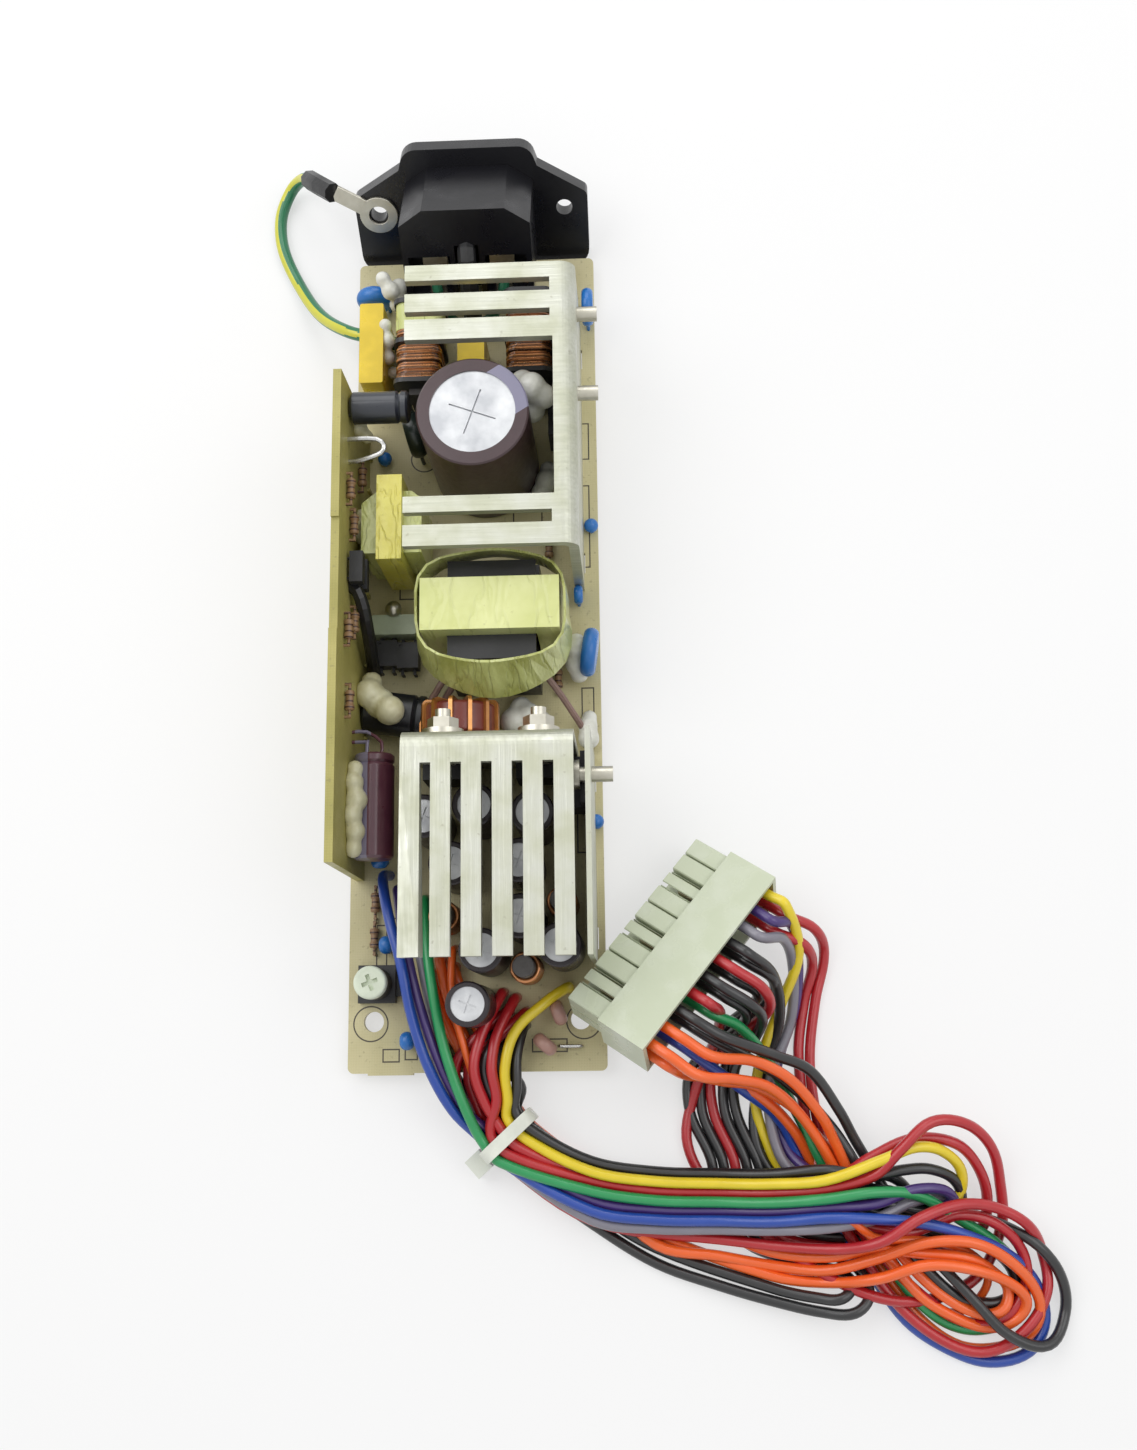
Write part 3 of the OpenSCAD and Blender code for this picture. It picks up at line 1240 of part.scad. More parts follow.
black1_run = [[48, -16.9, 2.6], [60, -18.9, 2.6], [72, -19.4, 2.6], [82, -19.4, 4.8], [92, -18.6, 7],
    [101, -20, 5.6], [106.4, -18.9, 5.4], [112, -18.8, 5], [117, -21.4, 2.6], [117.6, -26, 0.4],
    [110, -29.2, 1.4], [100, -28.6, 1.9], [90, -25.2, 0], [82.6, -19.6, -2.5], [79.6, -12, -2.5],
    [81, -2, -2], [85, 9, 1], [83.6, 17.6, 8]];
blue_from = [[8, 39, 0], [7.4, 38, 5], [9.4, 30, 10], [12, 21, 11], [14, 11, 9.8], [17, 1.5, 8.4], [21.4, -7, 5]];
blue_run = [[48, -25.9, 4], [60, -27.6, 4], [72, -27.9, 4], [82, -27.9, 6.2], [92, -27.1, 8.4],
    [101, -27.4, 8.2], [110, -28.4, 7], [118, -30.8, 5.4], [126, -34.6, 2], [131.4, -40, -1.4],
    [133, -47, -2.5], [129.6, -52.6, -2.5], [122, -54.4, -2.5], [114.4, -52, -2.5], [107, -47, -2.5],
    [100.6, -38, -2.5], [89.3, -20, -2.5], [84.6, -10, 0], [76.6, -3.4, 7], [69.6, 1.6, 14]];
purple_from = [[10, 36, 0], [10.4, 35, 5], [12.4, 25, 8.4], [15, 14, 8.4], [19.4, 1, 6.6], [24.4, -8, 3.4]];
purple_run = [[48, -24.1, 2.6], [60, -25.9, 2.6], [72, -26.2, 2.6], [82, -26.2, 4.8], [92, -25.4, 7],
    [101, -24.8, 6.8], [108, -22.4, 6.6], [114, -22.6, 4.8], [116, -25, 2.4], [110, -24.6, 1.4],
    [100, -22.2, 1.9], [93.4, -21, 1.6], [87, -17, -1.4], [84, -10, -2.5], [84.4, 0, -2.5], [88.4, 12, -1],
    [89, 22, 2.6], [87.4, 27.4, 7.6]];
grey_from = [[13.5, 33, 0], [13.8, 32, 4], [15, 24, 6.6], [17.4, 12, 6], [20.4, 1, 4.2], [25, -8.6, 1]];
grey_run = [[48, -27.7, 2.6], [60, -29.4, 2.6], [72, -29.6, 2.6], [82, -29.6, 4.8], [92, -29, 7],
    [101, -27.6, 6], [108, -24.8, 4.4], [115, -24.4, 1], [112, -26.8, -0.6], [105, -25.2, 1.4], [98, -24.2, 1.6],
    [86.4, -19.4, -0.4], [83, -12, -0.6], [83, -2, -1], [87.4, 9, -1], [88, 19, 2.6], [85.8, 24.4, 8.6]];
or1_from = [[18.6, 22, 0], [18.6, 21.6, 3], [21, 12, 3], [26.6, 1, 1.3], [29.4, -5, -1]];
or1_run = [[48, -21.7, -2.5], [60, -32.6, -0.4], [72, -34.8, -0.4], [82, -36.6, -0.4], [92, -37.2, 2],
    [101, -34.6, 6], [110, -31.8, 7], [119, -32, 6.6], [127, -36.6, 3.6], [131.6, -43, 0], [130.6, -48.4, -1.6],
    [125.4, -51.6, -2.5], [117, -51.6, -2.5], [109.6, -46.6, -2.5], [103, -37.6, -2.5], [91.6, -20, -2.5],
    [86.8, -11.4, 1], [80.4, -5, 5], [73, -1.6, 8.4], [66.6, -0.8, 11.4]];

sense_d = 1.6;

// A wire: where it starts, its lane and layer in the tied bundle, its run and its circuit
module wire(from, lane, layer, run, circuit, row, d = wire_d, dx = 0, dz = 0) {
    on_board() tube(smooth(concat(from, tied(lane, layer), run, plugged(circuit, row, dx, dz))), d);
}

module orange_wires() {
    color("#e8743a") {
        wire(or1_from, 3, 0, or1_run, 0, 1, wire_d, -0.6, 0.5);
    }
}

module red_wires() {
    color("#b5333a") {
        wire(red1_from, 1, 3, red1_run, 3, 0);
    }
}

module black_wires() {
    color("#1a1a1c") {
        wire(black1_from, 4, 3, black1_run, 6, 0);
    }
}

module yellow_wire() color("#e6d42a") wire(yellow_from, 3, 3, yellow_run, 9, 0);
module blue_wire() color("#2450b0") wire(blue_from, 0, 2, blue_run, 1, 1);
module green_wire() color("#2f9a5a") wire(green_from, 0, 3, green_run, 3, 1);
module purple_wire() color("#40306a") wire(purple_from, 1, 2, purple_run, 8, 0);
module grey_wire() color("#8d8c92") wire(grey_from, 0, 1, grey_run, 7, 0);

// The tie: a strap bent round the bundle, with its locking head below on the board's side

module cable_tie() {
    half_w = tie_lanes * lane_pitch / 2;
    half_h = tie_layers * lane_pitch / 2;
    color("#e4e6da") on_board() translate([tie_at[0], tie_at[1], table + 1.1 + (tie_layers - 1) * lane_pitch / 2])
        rotate([90, 0, tie_heading + 90]) translate([0, 0, -tie_w / 2]) {
            linear_extrude(tie_w) difference() {
                translate([-half_w - tie_t, -half_h]) rounded_rect(2 * (half_w + tie_t), 2 * half_h + tie_t, 2.6);
                translate([-half_w, -half_h]) rounded_rect(2 * half_w, 2 * half_h, 1.6);
            }
            translate([-half_w - tie_t - 3.4, -half_h, -0.8]) cube([3.6, 4.4, tie_w + 1.6]);
        }
}

// Earth lead: from the board, round the inlet's left side to a ring terminal at the flange's ear

earth_d = 2.7;
earth_points = [[13, 151, 0], [11.6, 151.4, 4], [6.6, 152, 8], [-1, 154.6, 7], [-8, 161, 2], [-13.6, 170, -2],
    [-17.6, 179, -2.2], [-18.4, 187, -2.2], [-16, 193, -1], [-12.4, 193.4, 3], [-9.4, 189.6, 8]];
sleeve_points = [[-10.2, 191, 6.6], [-7, 186.8, 11], [-3.6, 183.4, 13.6]];

module earth_lead() color("#2c6b4a") on_board() tube(smooth(earth_points), earth_d);
module earth_sleeve() color("#1d1d20") on_board() tube(smooth(sleeve_points), 4.2);

ring_hole = 4.3;
ring_od = 8;
ring_t = 0.8;
barrel_l = 7;

module earth_terminal() {
    color("#c8c6bd") on_board() inlet_frame()
        translate([-ear_pitch / 2, flange[1] / 2, -flange[2] - ring_t - 0.05]) rotate([0, 0, 128]) difference() {
            union() {
                cylinder(d = ring_od, h = ring_t);
                translate([0, -1.6, 0]) cube([barrel_l, 3.2, ring_t]);
            }
            translate([0, 0, -1]) cylinder(d = ring_hole, h = ring_t + 2);
        }
}

main_board();
control_board();
primary_heatsink();
secondary_heatsink();
side_heatsink();
power_transistors();
rectifiers();
fasteners();
inlet_housing();
inlet_contacts();
inlet_leads();
earth_tab_sleeve();
bulk_capacitor();
bulk_capacitor_sleeve();
choke_cores();
choke_bobbins();
choke_windings();
choke_tape();
film_capacitors();
blue_capacitors();
thermistor();
transformer_core();
transformer_bobbin();
transformer_winding();
transformer_tape();
flying_leads();
standby_core();
standby_winding();
toroid_core();
toroid_winding();
output_capacitors();
output_sleeves();
rod_choke_cores();
rod_choke_windings();
post_screw();
post_body();
control_capacitors();
black_capacitor();
optocouplers();
insulating_bar();
resistors();
pink_capacitors();
wire_links();
adhesive();
solder_joints();
connector_housing();
connector_contacts();
cable_tie();
earth_lead();
earth_terminal();
earth_sleeve();
orange_wires();
red_wires();
black_wires();
yellow_wire();
blue_wire();
green_wire();
purple_wire();
grey_wire();
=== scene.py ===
import math
import bpy
import bmesh
from mathutils import Matrix, Vector


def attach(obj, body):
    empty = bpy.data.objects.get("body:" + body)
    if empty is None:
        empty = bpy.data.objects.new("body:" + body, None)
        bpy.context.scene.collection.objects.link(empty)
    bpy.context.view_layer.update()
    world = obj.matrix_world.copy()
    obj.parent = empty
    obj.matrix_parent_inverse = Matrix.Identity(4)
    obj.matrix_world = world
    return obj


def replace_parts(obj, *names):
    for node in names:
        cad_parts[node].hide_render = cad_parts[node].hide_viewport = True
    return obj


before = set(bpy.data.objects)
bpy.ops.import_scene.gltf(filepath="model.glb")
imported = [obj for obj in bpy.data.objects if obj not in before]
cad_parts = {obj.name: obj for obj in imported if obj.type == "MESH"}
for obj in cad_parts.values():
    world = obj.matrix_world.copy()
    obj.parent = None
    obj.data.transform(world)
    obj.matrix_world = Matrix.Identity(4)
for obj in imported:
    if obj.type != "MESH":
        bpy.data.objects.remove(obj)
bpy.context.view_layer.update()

# Table, lamps and camera.
# The supply lies on its solder joints on a white table, under three soft lamps, and is seen from almost
# straight above, the lens over the output end, so that upright walls lean a little outward.
mount_inset = (5.1, 10.0)
board_t = 1.6
table = -3.6
lens_at = (57.8, 4.9, 308)
lens_right = Vector((0.9989, -0.0132, -0.0458))
lens_up = Vector((0.0223, 0.9788, 0.2037))
lamps_face = Vector((0.03, 0.06, 0))
room_light = 0.5
table_reach = 3
table_glow = 0.55


def on_board(x, y, z):
    """In metres, a place given in millimetres from the board's near left corner and its top."""
    return Vector((x - mount_inset[0], y - mount_inset[1], z + board_t)) / 1000


def set_out(name, data):
    """A new object of this data, in the scene."""
    made = bpy.data.objects.new(name, data)
    bpy.context.scene.collection.objects.link(made)
    return made


lens_back = lens_right.cross(lens_up).normalized()
camera_data = bpy.data.cameras.new("camera")
camera_data.lens = 38.1
camera_data.sensor_width = 36
camera_data.clip_start = 0.01
camera = set_out("camera", camera_data)
camera.matrix_world = Matrix.Translation(on_board(*lens_at)) @ Matrix(
    (lens_right, lens_back.cross(lens_right), lens_back)).transposed().to_4x4()
bpy.context.scene.camera = camera
bpy.context.scene.view_settings.view_transform = "Standard"

for name, place, size, watts in (
        ("lamp_left", (-0.35, 0.25, 0.55), 0.5, 1.9),
        ("lamp_right", (0.45, 0.1, 0.6), 0.5, 1.3),
        ("lamp_far", (0.05, 0.6, 0.45), 0.4, 1.0)):
    lamp_data = bpy.data.lights.new(name, "AREA")
    lamp_data.size = size
    lamp_data.energy = watts
    lamp = set_out(name, lamp_data)
    lamp.location = place
    lamp.rotation_euler = (lamps_face - Vector(place)).to_track_quat("-Z", "Y").to_euler()


class Shade:
    """A shader socket in arithmetic: each sum adds its Math node, and node() adds any other."""

    def __init__(self, tree, socket=None):
        self.tree = tree
        self.socket = socket

    def node(self, kind, settings=None, sockets=None, out=0):
        made = self.tree.nodes.new(kind)
        for name, value in (settings or {}).items():
            setattr(made, name, value)
        for name, value in (sockets or {}).items():
            if isinstance(value, Shade):
                self.tree.links.new(value.socket, made.inputs[name])
            else:
                made.inputs[name].default_value = value
        return Shade(self.tree, made.outputs[out])

    def maths(self, operation, *others):
        return self.node("ShaderNodeMath", {"operation": operation}, dict(enumerate((self, *others))))

    def __add__(self, other):
        return self.maths("ADD", other)

    def __sub__(self, other):
        return self.maths("SUBTRACT", other)

    def __rsub__(self, other):
        return self.node("ShaderNodeMath", {"operation": "SUBTRACT"}, {0: other, 1: self})

    def __mul__(self, other):
        return self.maths("MULTIPLY", other)

    def __gt__(self, other):
        return self.maths("GREATER_THAN", other)

    def __lt__(self, other):
        return self.maths("LESS_THAN", other)

    def __abs__(self):
        return self.maths("ABSOLUTE")

    def between(self, low, high):
        """Nought at low and below, one at high and above."""
        return self.node("ShaderNodeMapRange", {"clamp": True}, {0: self, 1: low, 2: high, 3: 0.0, 4: 1.0})

    def mix(self, a, b):
        """Colour a where this is nought and colour b where it is one."""
        a, b = [v if isinstance(v, Shade) else (*v, 1) for v in (a, b)]
        return self.node("ShaderNodeMix", {"data_type": "RGBA"}, {0: self, 6: a, 7: b}, out=2)

    __radd__ = __add__
    __rmul__ = __mul__


def start_finish(name, **fixed):
    """A new material, its even values set on the shader, and the place on the piece in metres."""
    material = bpy.data.materials.new(name)
    material.use_nodes = True
    tree = material.node_tree
    shader = tree.nodes["Principled BSDF"]
    for socket, value in fixed.items():
        shader.inputs[socket.replace("_", " ")].default_value = value
    return material, Shade(tree).node("ShaderNodeTexCoord", out=3)


def seen_as_backdrop(tree):
    """One for a ray from the camera, off metal or through something clear, and nought for a ray of light."""
    light_path = tree.nodes.new("ShaderNodeLightPath")
    return sum(Shade(tree, light_path.outputs[kind])
               for kind in ("Is Camera Ray", "Is Glossy Ray", "Is Transmission Ray"))


world = bpy.data.worlds.new("room")
world.use_nodes = True
world_tree = world.node_tree
soft_light = world_tree.nodes["Background"]
soft_light.inputs["Color"].default_value = (1, 1, 1, 1)
soft_light.inputs["Strength"].default_value = room_light
backdrop = Shade(world_tree).node("ShaderNodeBackground", None, {"Color": (1, 1, 1, 1), "Strength": 1.0})
either = backdrop.node("ShaderNodeMixShader", None, {
    0: seen_as_backdrop(world_tree), 1: Shade(world_tree, soft_light.outputs[0]), 2: backdrop})
world_tree.links.new(either.socket, world_tree.nodes["World Output"].inputs["Surface"])
bpy.context.scene.world = world

floor_mesh = bpy.data.meshes.new("table_top")
floor_mesh.from_pydata([(x * table_reach, y * table_reach, (table + board_t) / 1000)
                        for x, y in ((-1, -1), (1, -1), (1, 1), (-1, 1))], [], [(0, 1, 2, 3)])
floor = set_out("table_top", floor_mesh)
floor_finish, _ = start_finish("white_table", Base_Color=(0.9, 0.9, 0.9, 1), Roughness=0.9,
                               Specular_IOR_Level=0.1)
floor_tree = floor_finish.node_tree
glow = Shade(floor_tree).node("ShaderNodeEmission", None, {"Color": (1, 1, 1, 1), "Strength": 1.0})
shadowed = Shade(floor_tree, floor_tree.nodes["Principled BSDF"].outputs[0])
seen = glow.node("ShaderNodeMixShader", None, {
    0: seen_as_backdrop(floor_tree) * table_glow, 1: shadowed, 2: glow})
floor_tree.links.new(seen.socket, floor_tree.nodes["Material Output"].inputs["Surface"])
floor_mesh.materials.append(floor_finish)

# Main board.
# A tan laminate, cut with rounded corners and drilled for its leads and two fixing screws, with thin dark
# outlines printed on the part side; bright soldered leads are clipped short below it.
print_w = 0.28
weave_scale = 600.0
board_prints = [(4.5, 9.6, 3.4, None), (46.8, 9.6, 3.4, None), (8.6, 3.4, 1.6, 1.2), (12.6, 4.6, 1.2, 2),
                (6.5, 25, 1, 4), (9.5, 27, 1, 3.4), (40, 5, 3.4, 1.2), (47.5, 47, 1.4, 4),
                (48.6, 112, 0.9, 9), (36.5, 116, 3, 6.5), (9.5, 115, 2.6, 5), (48.6, 72, 1.2, 5),
                (14.5, 128, 2.8, None), (48.4, 131, 1.2, 4), (11.5, 100, 2, 3)]


def varies(material, **shades):
    """Links what changes over the surface to the material's shader."""
    shader = material.node_tree.nodes["Principled BSDF"]
    for socket, shade in shades.items():
        material.node_tree.links.new(shade.socket, shader.inputs[socket.replace("_", " ")])
    return material


def specks(place, size, detail=3.0, stretch=None):
    """Soft random patches of about this size in metres."""
    if stretch:
        place = place.node("ShaderNodeMapping", None, {"Vector": place, "Scale": stretch})
    return place.node("ShaderNodeTexNoise", None, {"Vector": place, "Scale": 1 / size, "Detail": detail})


def relief(height, depth, strength=1.0):
    """Surface relief of this depth in metres."""
    return height.node("ShaderNodeBump", None, {"Height": height, "Distance": depth, "Strength": strength})


def axes(place):
    """The three coordinates of a place, each as a shade."""
    split = place.node("ShaderNodeSeparateXYZ", None, {0: place})
    return [Shade(place.tree, split.socket.node.outputs[i]) for i in range(3)]


def give(material, *names):
    """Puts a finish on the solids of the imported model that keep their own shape."""
    for name in names:
        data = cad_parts[name].data
        data.materials.clear()
        data.materials.append(material)
        for face in data.polygons:
            face.material_index = 0


def printed(place, outlines):
    """One where a thin printed line runs: an outline is a box, or a circle where its half height is None."""
    x, y, z = axes(place)
    lines = None
    for middle_x, middle_y, half_w, half_h in outlines:
        middle = on_board(middle_x, middle_y, 0)
        dx = abs(x - middle[0])
        dy = abs(y - middle[1])
        if half_h is None:
            away = (dx * dx + dy * dy).maths("SQRT") - half_w / 1000
        else:
            away = (dx - half_w / 1000).maths("MAXIMUM", dy - half_h / 1000)
        line = abs(away) < print_w / 2000
        lines = lines.maths("MAXIMUM", line) if lines else line
    return lines * (z > board_t / 1000 - 0.0001)


def laminate(name, colour, deep, outlines=None):
    """Varnished sheet of woven fibre: the weave just shows, with soft blotches and specks of dirt."""
    material, place = start_finish(name, Roughness=0.5)
    threads = sum(place.node("ShaderNodeTexWave", {"bands_direction": along}, {
        "Vector": place, "Scale": weave_scale, "Distortion": 1.5, "Detail": 2.0}, out=1) for along in "XY")
    blotch = specks(place, 0.012).between(0.35, 0.7)
    dirt = specks(place, 0.0009, 5.0).between(0.62, 0.72)
    body = (blotch * 0.7 + threads * 0.12).mix(colour, deep)
    body = (dirt * 0.35).mix(body, (0.16, 0.13, 0.07))
    if outlines:
        body = printed(place, outlines).mix(body, (0.06, 0.05, 0.035))
    return varies(material, Base_Color=body, Roughness=blotch * 0.2 + 0.38,
                  Normal=relief(threads, 0.00003, 0.35))


give(laminate("main_laminate", (0.64, 0.58, 0.34), (0.52, 0.47, 0.25), board_prints), "main_board")
solder, place = start_finish("solder", Metallic=1.0)
varies(solder, Base_Color=specks(place, 0.0006).mix((0.62, 0.62, 0.62), (0.42, 0.42, 0.41)),
       Roughness=specks(place, 0.0003) * 0.3 + 0.15)
give(solder, "solder_joints", "wire_links")


# Mains inlet.
# A black thermoplastic inlet that leans back over the board's far edge, with tinned tabs, two sleeved
# leads down to the board and a shrunk sleeve over the earth tab.
def moulded(name, colour, roughness=0.5, grain=0.00025, depth=0.00003, worn=None):
    """Moulded plastic or varnish: an even grain, and slightly shinier, paler patches where it was handled."""
    material, place = start_finish(name)
    rub = specks(place, 0.006, 4.0).between(0.45, 0.75)
    return varies(material, Base_Color=(rub * 0.5).mix(colour, worn or [c * 1.5 + 0.01 for c in colour]),
                  Roughness=roughness - rub * 0.15, Normal=relief(specks(place, grain), depth, 0.6))


inlet_plastic = moulded("inlet_plastic", (0.004, 0.004, 0.006), 0.34, 0.0004, worn=(0.012, 0.012, 0.016))
give(inlet_plastic, "inlet_housing")
tinned, place = start_finish("tinned_brass", Metallic=1.0)
varies(tinned, Base_Color=specks(place, 0.0015).mix((0.74, 0.68, 0.52), (0.50, 0.42, 0.28)),
       Roughness=specks(place, 0.0005) * 0.25 + 0.25)
give(tinned, "inlet_contacts")
give(moulded("green_lead_sleeve", (0.02, 0.14, 0.07), 0.4), "inlet_leads")
black_shrink = moulded("black_shrink", (0.012, 0.012, 0.013), 0.48, 0.0006, 0.00008)
give(black_shrink, "earth_tab_sleeve")

# Line filter chokes.
# Two ferrite cores in black moulded bobbins, each wound with enamelled copper and closed with a band of
# yellow polyester tape, and soldered in by the bobbins' pins.
ferrite, place = start_finish("ferrite")
varies(ferrite, Base_Color=specks(place, 0.001).mix((0.05, 0.045, 0.045), (0.09, 0.085, 0.08)),
       Roughness=specks(place, 0.0004) * 0.3 + 0.4, Normal=relief(specks(place, 0.0003), 0.00005))
give(ferrite, "choke_cores")
black_bobbin = moulded("black_bobbin", (0.014, 0.014, 0.015), 0.45)
give(black_bobbin, "choke_bobbins")


def enamel(name, colour, deep, pitch=None, across="Y"):
    """Copper under a thin coloured varnish, its turns side by side at this pitch in metres, with painted
    shade in the grooves between the turns.
    """
    material, place = start_finish(name, Metallic=0.75, Coat_Weight=0.6, Coat_Roughness=0.1)
    shade = specks(place, 0.0015).mix(colour, deep)
    gloss = specks(place, 0.0006) * 0.2
    if not pitch:
        return varies(material, Base_Color=shade, Roughness=gloss + 0.22)
    turns = place.node("ShaderNodeTexWave", {"bands_direction": across, "wave_profile": "SIN"}, {
        "Vector": place, "Scale": math.pi / 10 / pitch, "Distortion": 0.6, "Detail": 1.0,
        "Detail Scale": 0.4}, out=1)
    # Painted shade: the colour darkens to 0.18 of the copper's in the grooves between turns, where the relief
    # dips.
    return varies(material, Base_Color=turns.between(0.05, 0.45).mix([c * 0.18 for c in colour], shade),
                  Roughness=gloss + 0.2, Normal=relief(turns, 0.00025))


def tape(name, pale, deep, fold=0.006):
    """Polyester tape: glossy, with long soft folds, fine wrinkles and grimy patches."""
    material, place = start_finish(name, Coat_Weight=0.5, Coat_Roughness=0.12)
    wrinkle = specks(place, fold, 4.0, (1, 1, 0.35))
    crease = abs(specks(place, fold * 0.7, 2.0, (1.6, 0.5, 0.25)) - 0.5).between(0.0, 0.05)
    # Painted light and shade on the folds: the pale colour on raised folds and the deep one in hollows, from
    # the relief's own noise.
    shade = wrinkle.between(0.35, 0.65).mix(deep, pale)
    grime = specks(place, 0.0012, 6.0).between(0.66, 0.78)
    # Painted shade along the creases: each crease line turns towards the deep colour.
    crease_shaded = (crease * 0.35 + 0.65).mix(deep, shade)
    return varies(material, Base_Color=(grime * 0.3).mix(crease_shaded, (0.20, 0.17, 0.05)),
                  Roughness=wrinkle * 0.2 + 0.22, Normal=relief(wrinkle * 2 + crease * 0.3, 0.0007, 0.8))


give(enamel("choke_copper", (0.62, 0.27, 0.10), (0.40, 0.15, 0.05), 0.0008), "choke_windings")
yellow_tape = tape("yellow_tape", (0.70, 0.75, 0.30), (0.54, 0.58, 0.18))
give(yellow_tape, "choke_tape")

# Small capacitors and the thermistor.
# Film capacitors potted in yellow boxes, ceramic discs and beads dipped in blue or pink varnish, and the
# dark dipped disc of the inrush thermistor, all standing on their own leads.
give(moulded("yellow_case", (0.72, 0.52, 0.02), 0.35), "film_capacitors")
give(moulded("blue_varnish", (0.02, 0.16, 0.50), 0.3, 0.0012, 0.00008), "blue_capacitors")
give(moulded("pink_varnish", (0.42, 0.24, 0.20), 0.35), "pink_capacitors")
give(moulded("dark_green_varnish", (0.02, 0.03, 0.025), 0.35, 0.001, 0.00006), "thermistor")

# Bulk and output capacitors.
# Drawn aluminium cans with a cross cut vent in the top, in shrunk plastic sleeves; the bulk capacitor's
# brown sleeve has a pale band on its negative side.
bulk_middle = on_board(28, 125.3, 0)
band_facing = math.radians(32)
band_half = 0.0052
can_top, place = start_finish("drawn_aluminium", Metallic=0.9)
dull = specks(place, 0.005, 5.0).between(0.3, 0.7)
varies(can_top, Base_Color=dull.mix((0.60, 0.61, 0.62), (0.38, 0.39, 0.41)),
       Roughness=specks(place, 0.0005, 5.0) * 0.25 + 0.22,
       Normal=relief(specks(place, 0.0004, 4.0), 0.00003, 0.4))
give(can_top, "bulk_capacitor", "output_capacitors")

bulk_sleeve, place = start_finish("bulk_sleeve", Coat_Weight=0.3, Coat_Roughness=0.15)
x, y, z = axes(place)
dx = x - bulk_middle[0]
dy = y - bulk_middle[1]
along = dx * math.cos(band_facing) + dy * math.sin(band_facing)
across = dy * math.cos(band_facing) - dx * math.sin(band_facing)
band = (along > 0) * (abs(across) < band_half)
brown = specks(place, 0.003).mix((0.034, 0.015, 0.018), (0.0544, 0.024, 0.0288))
varies(bulk_sleeve, Base_Color=band.mix(brown, (0.22, 0.21, 0.30)),
       Roughness=specks(place, 0.001) * 0.2 + 0.25, Normal=relief(specks(place, 0.0015), 0.00005, 0.5))
give(bulk_sleeve, "bulk_capacitor_sleeve")
give(moulded("output_sleeve", (0.014, 0.009, 0.012), 0.35, 0.001, 0.00004), "output_sleeves")

# Standby transformer.
# A small ferrite core wrapped in amber tape, over a winding closed with yellow tape, on a pinned bobbin
# close to the control board.
give(tape("standby_tape", (0.76, 0.70, 0.12), (0.66, 0.58, 0.06)), "standby_core")
give(yellow_tape, "standby_winding")

# Main transformer.
# A ferrite core under flat tape on a black pinned bobbin with a copper winding, a loose turn of tape round
# it all; its flying leads run down to the board in sleeves, black beside the control board.
black_leads_to = on_board(11, 0, 0)[0]
give(tape("core_tape", (0.76, 0.79, 0.36), (0.64, 0.68, 0.25), 0.012), "transformer_core")
give(black_bobbin, "transformer_bobbin")
give(enamel("transformer_copper", (0.55, 0.27, 0.08), (0.32, 0.13, 0.04), 0.0007, "Z"), "transformer_winding")
give(tape("loose_tape", (0.62, 0.66, 0.26), (0.38, 0.40, 0.10), 0.005), "transformer_tape")
sleeved, place = start_finish("sleeved_lead")
x, y, z = axes(place)
varies(sleeved, Base_Color=(x < black_leads_to).mix(
           specks(place, 0.002).mix((0.30, 0.19, 0.16), (0.22, 0.14, 0.12)), (0.010, 0.010, 0.012)),
       Roughness=specks(place, 0.0008) * 0.25 + 0.3, Normal=relief(specks(place, 0.0012), 0.00006, 0.6))
give(sleeved, "flying_leads")

# Output toroid and rod chokes.
# A ring core in red varnish with a few turns of thick enamelled copper, and three ferrite rods closely
# wound with the same wire, which stand upright at the output end.
give(moulded("red_varnish", (0.17, 0.03, 0.02), 0.35, 0.001, 0.00004), "toroid_core")
give(enamel("toroid_copper", (0.62, 0.28, 0.07), (0.42, 0.16, 0.04)), "toroid_winding")
give(ferrite, "rod_choke_cores")
give(enamel("rod_choke_copper", (0.62, 0.27, 0.10), (0.40, 0.15, 0.05)), "rod_choke_windings")

# Control board and what stands beside it.
# A second, olive laminate soldered upright along the left edge, with two sleeved cans lying on it; banded
# resistors, a black sleeved can and a pale green insulating bar are fixed on or beside it.
near_can_to = on_board(0, 90, 0)[1]
stripe_from = on_board(3.4, 0, 0)[0]
stripe_to = on_board(6.6, 0, 0)[0]
stripe_above = 0.0165
give(laminate("control_laminate", (0.47, 0.42, 0.13), (0.34, 0.31, 0.09)), "control_board")
control_sleeve, place = start_finish("control_sleeve", Coat_Weight=0.4, Coat_Roughness=0.12)
x, y, z = axes(place)
stripe = (x < stripe_to) * (x > stripe_from) * (z > stripe_above)
purple_brown = specks(place, 0.003).mix((0.075, 0.018, 0.035), (0.12, 0.035, 0.055))
near_can = stripe.mix(purple_brown, (0.20, 0.18, 0.27))
varies(control_sleeve, Base_Color=(y > near_can_to).mix(near_can, (0.018, 0.022, 0.032)),
       Roughness=specks(place, 0.001) * 0.2 + 0.22, Normal=relief(specks(place, 0.0015), 0.00005, 0.5))
give(control_sleeve, "control_capacitors")
give(moulded("black_sleeve", (0.012, 0.013, 0.016), 0.35, 0.001, 0.00004), "black_capacitor")
resistor_paint, place = start_finish("resistor_paint")
bands = place.node("ShaderNodeTexWave", {"bands_direction": "Y"}, {"Vector": place, "Scale": 260.0}, out=1)
varies(resistor_paint, Base_Color=(bands > 0.86).mix(
           specks(place, 0.002).mix((0.24, 0.13, 0.06), (0.32, 0.20, 0.11)), (0.05, 0.02, 0.015)),
       Roughness=specks(place, 0.0008) * 0.25 + 0.28, Normal=relief(specks(place, 0.0006), 0.00004, 0.5))
give(resistor_paint, "resistors")
give(moulded("green_bar", (0.50, 0.58, 0.44), 0.35), "insulating_bar")

# Transistors, rectifiers and optocouplers.
# Black epoxy moulded round their lead frames, with a dull, slightly rough face; the power packages are
# clamped flat to the heatsinks' walls, and the optocouplers stand on the board.
epoxy = moulded("black_epoxy", (0.018, 0.018, 0.02), 0.55)
give(epoxy, "power_transistors", "rectifiers", "optocouplers")
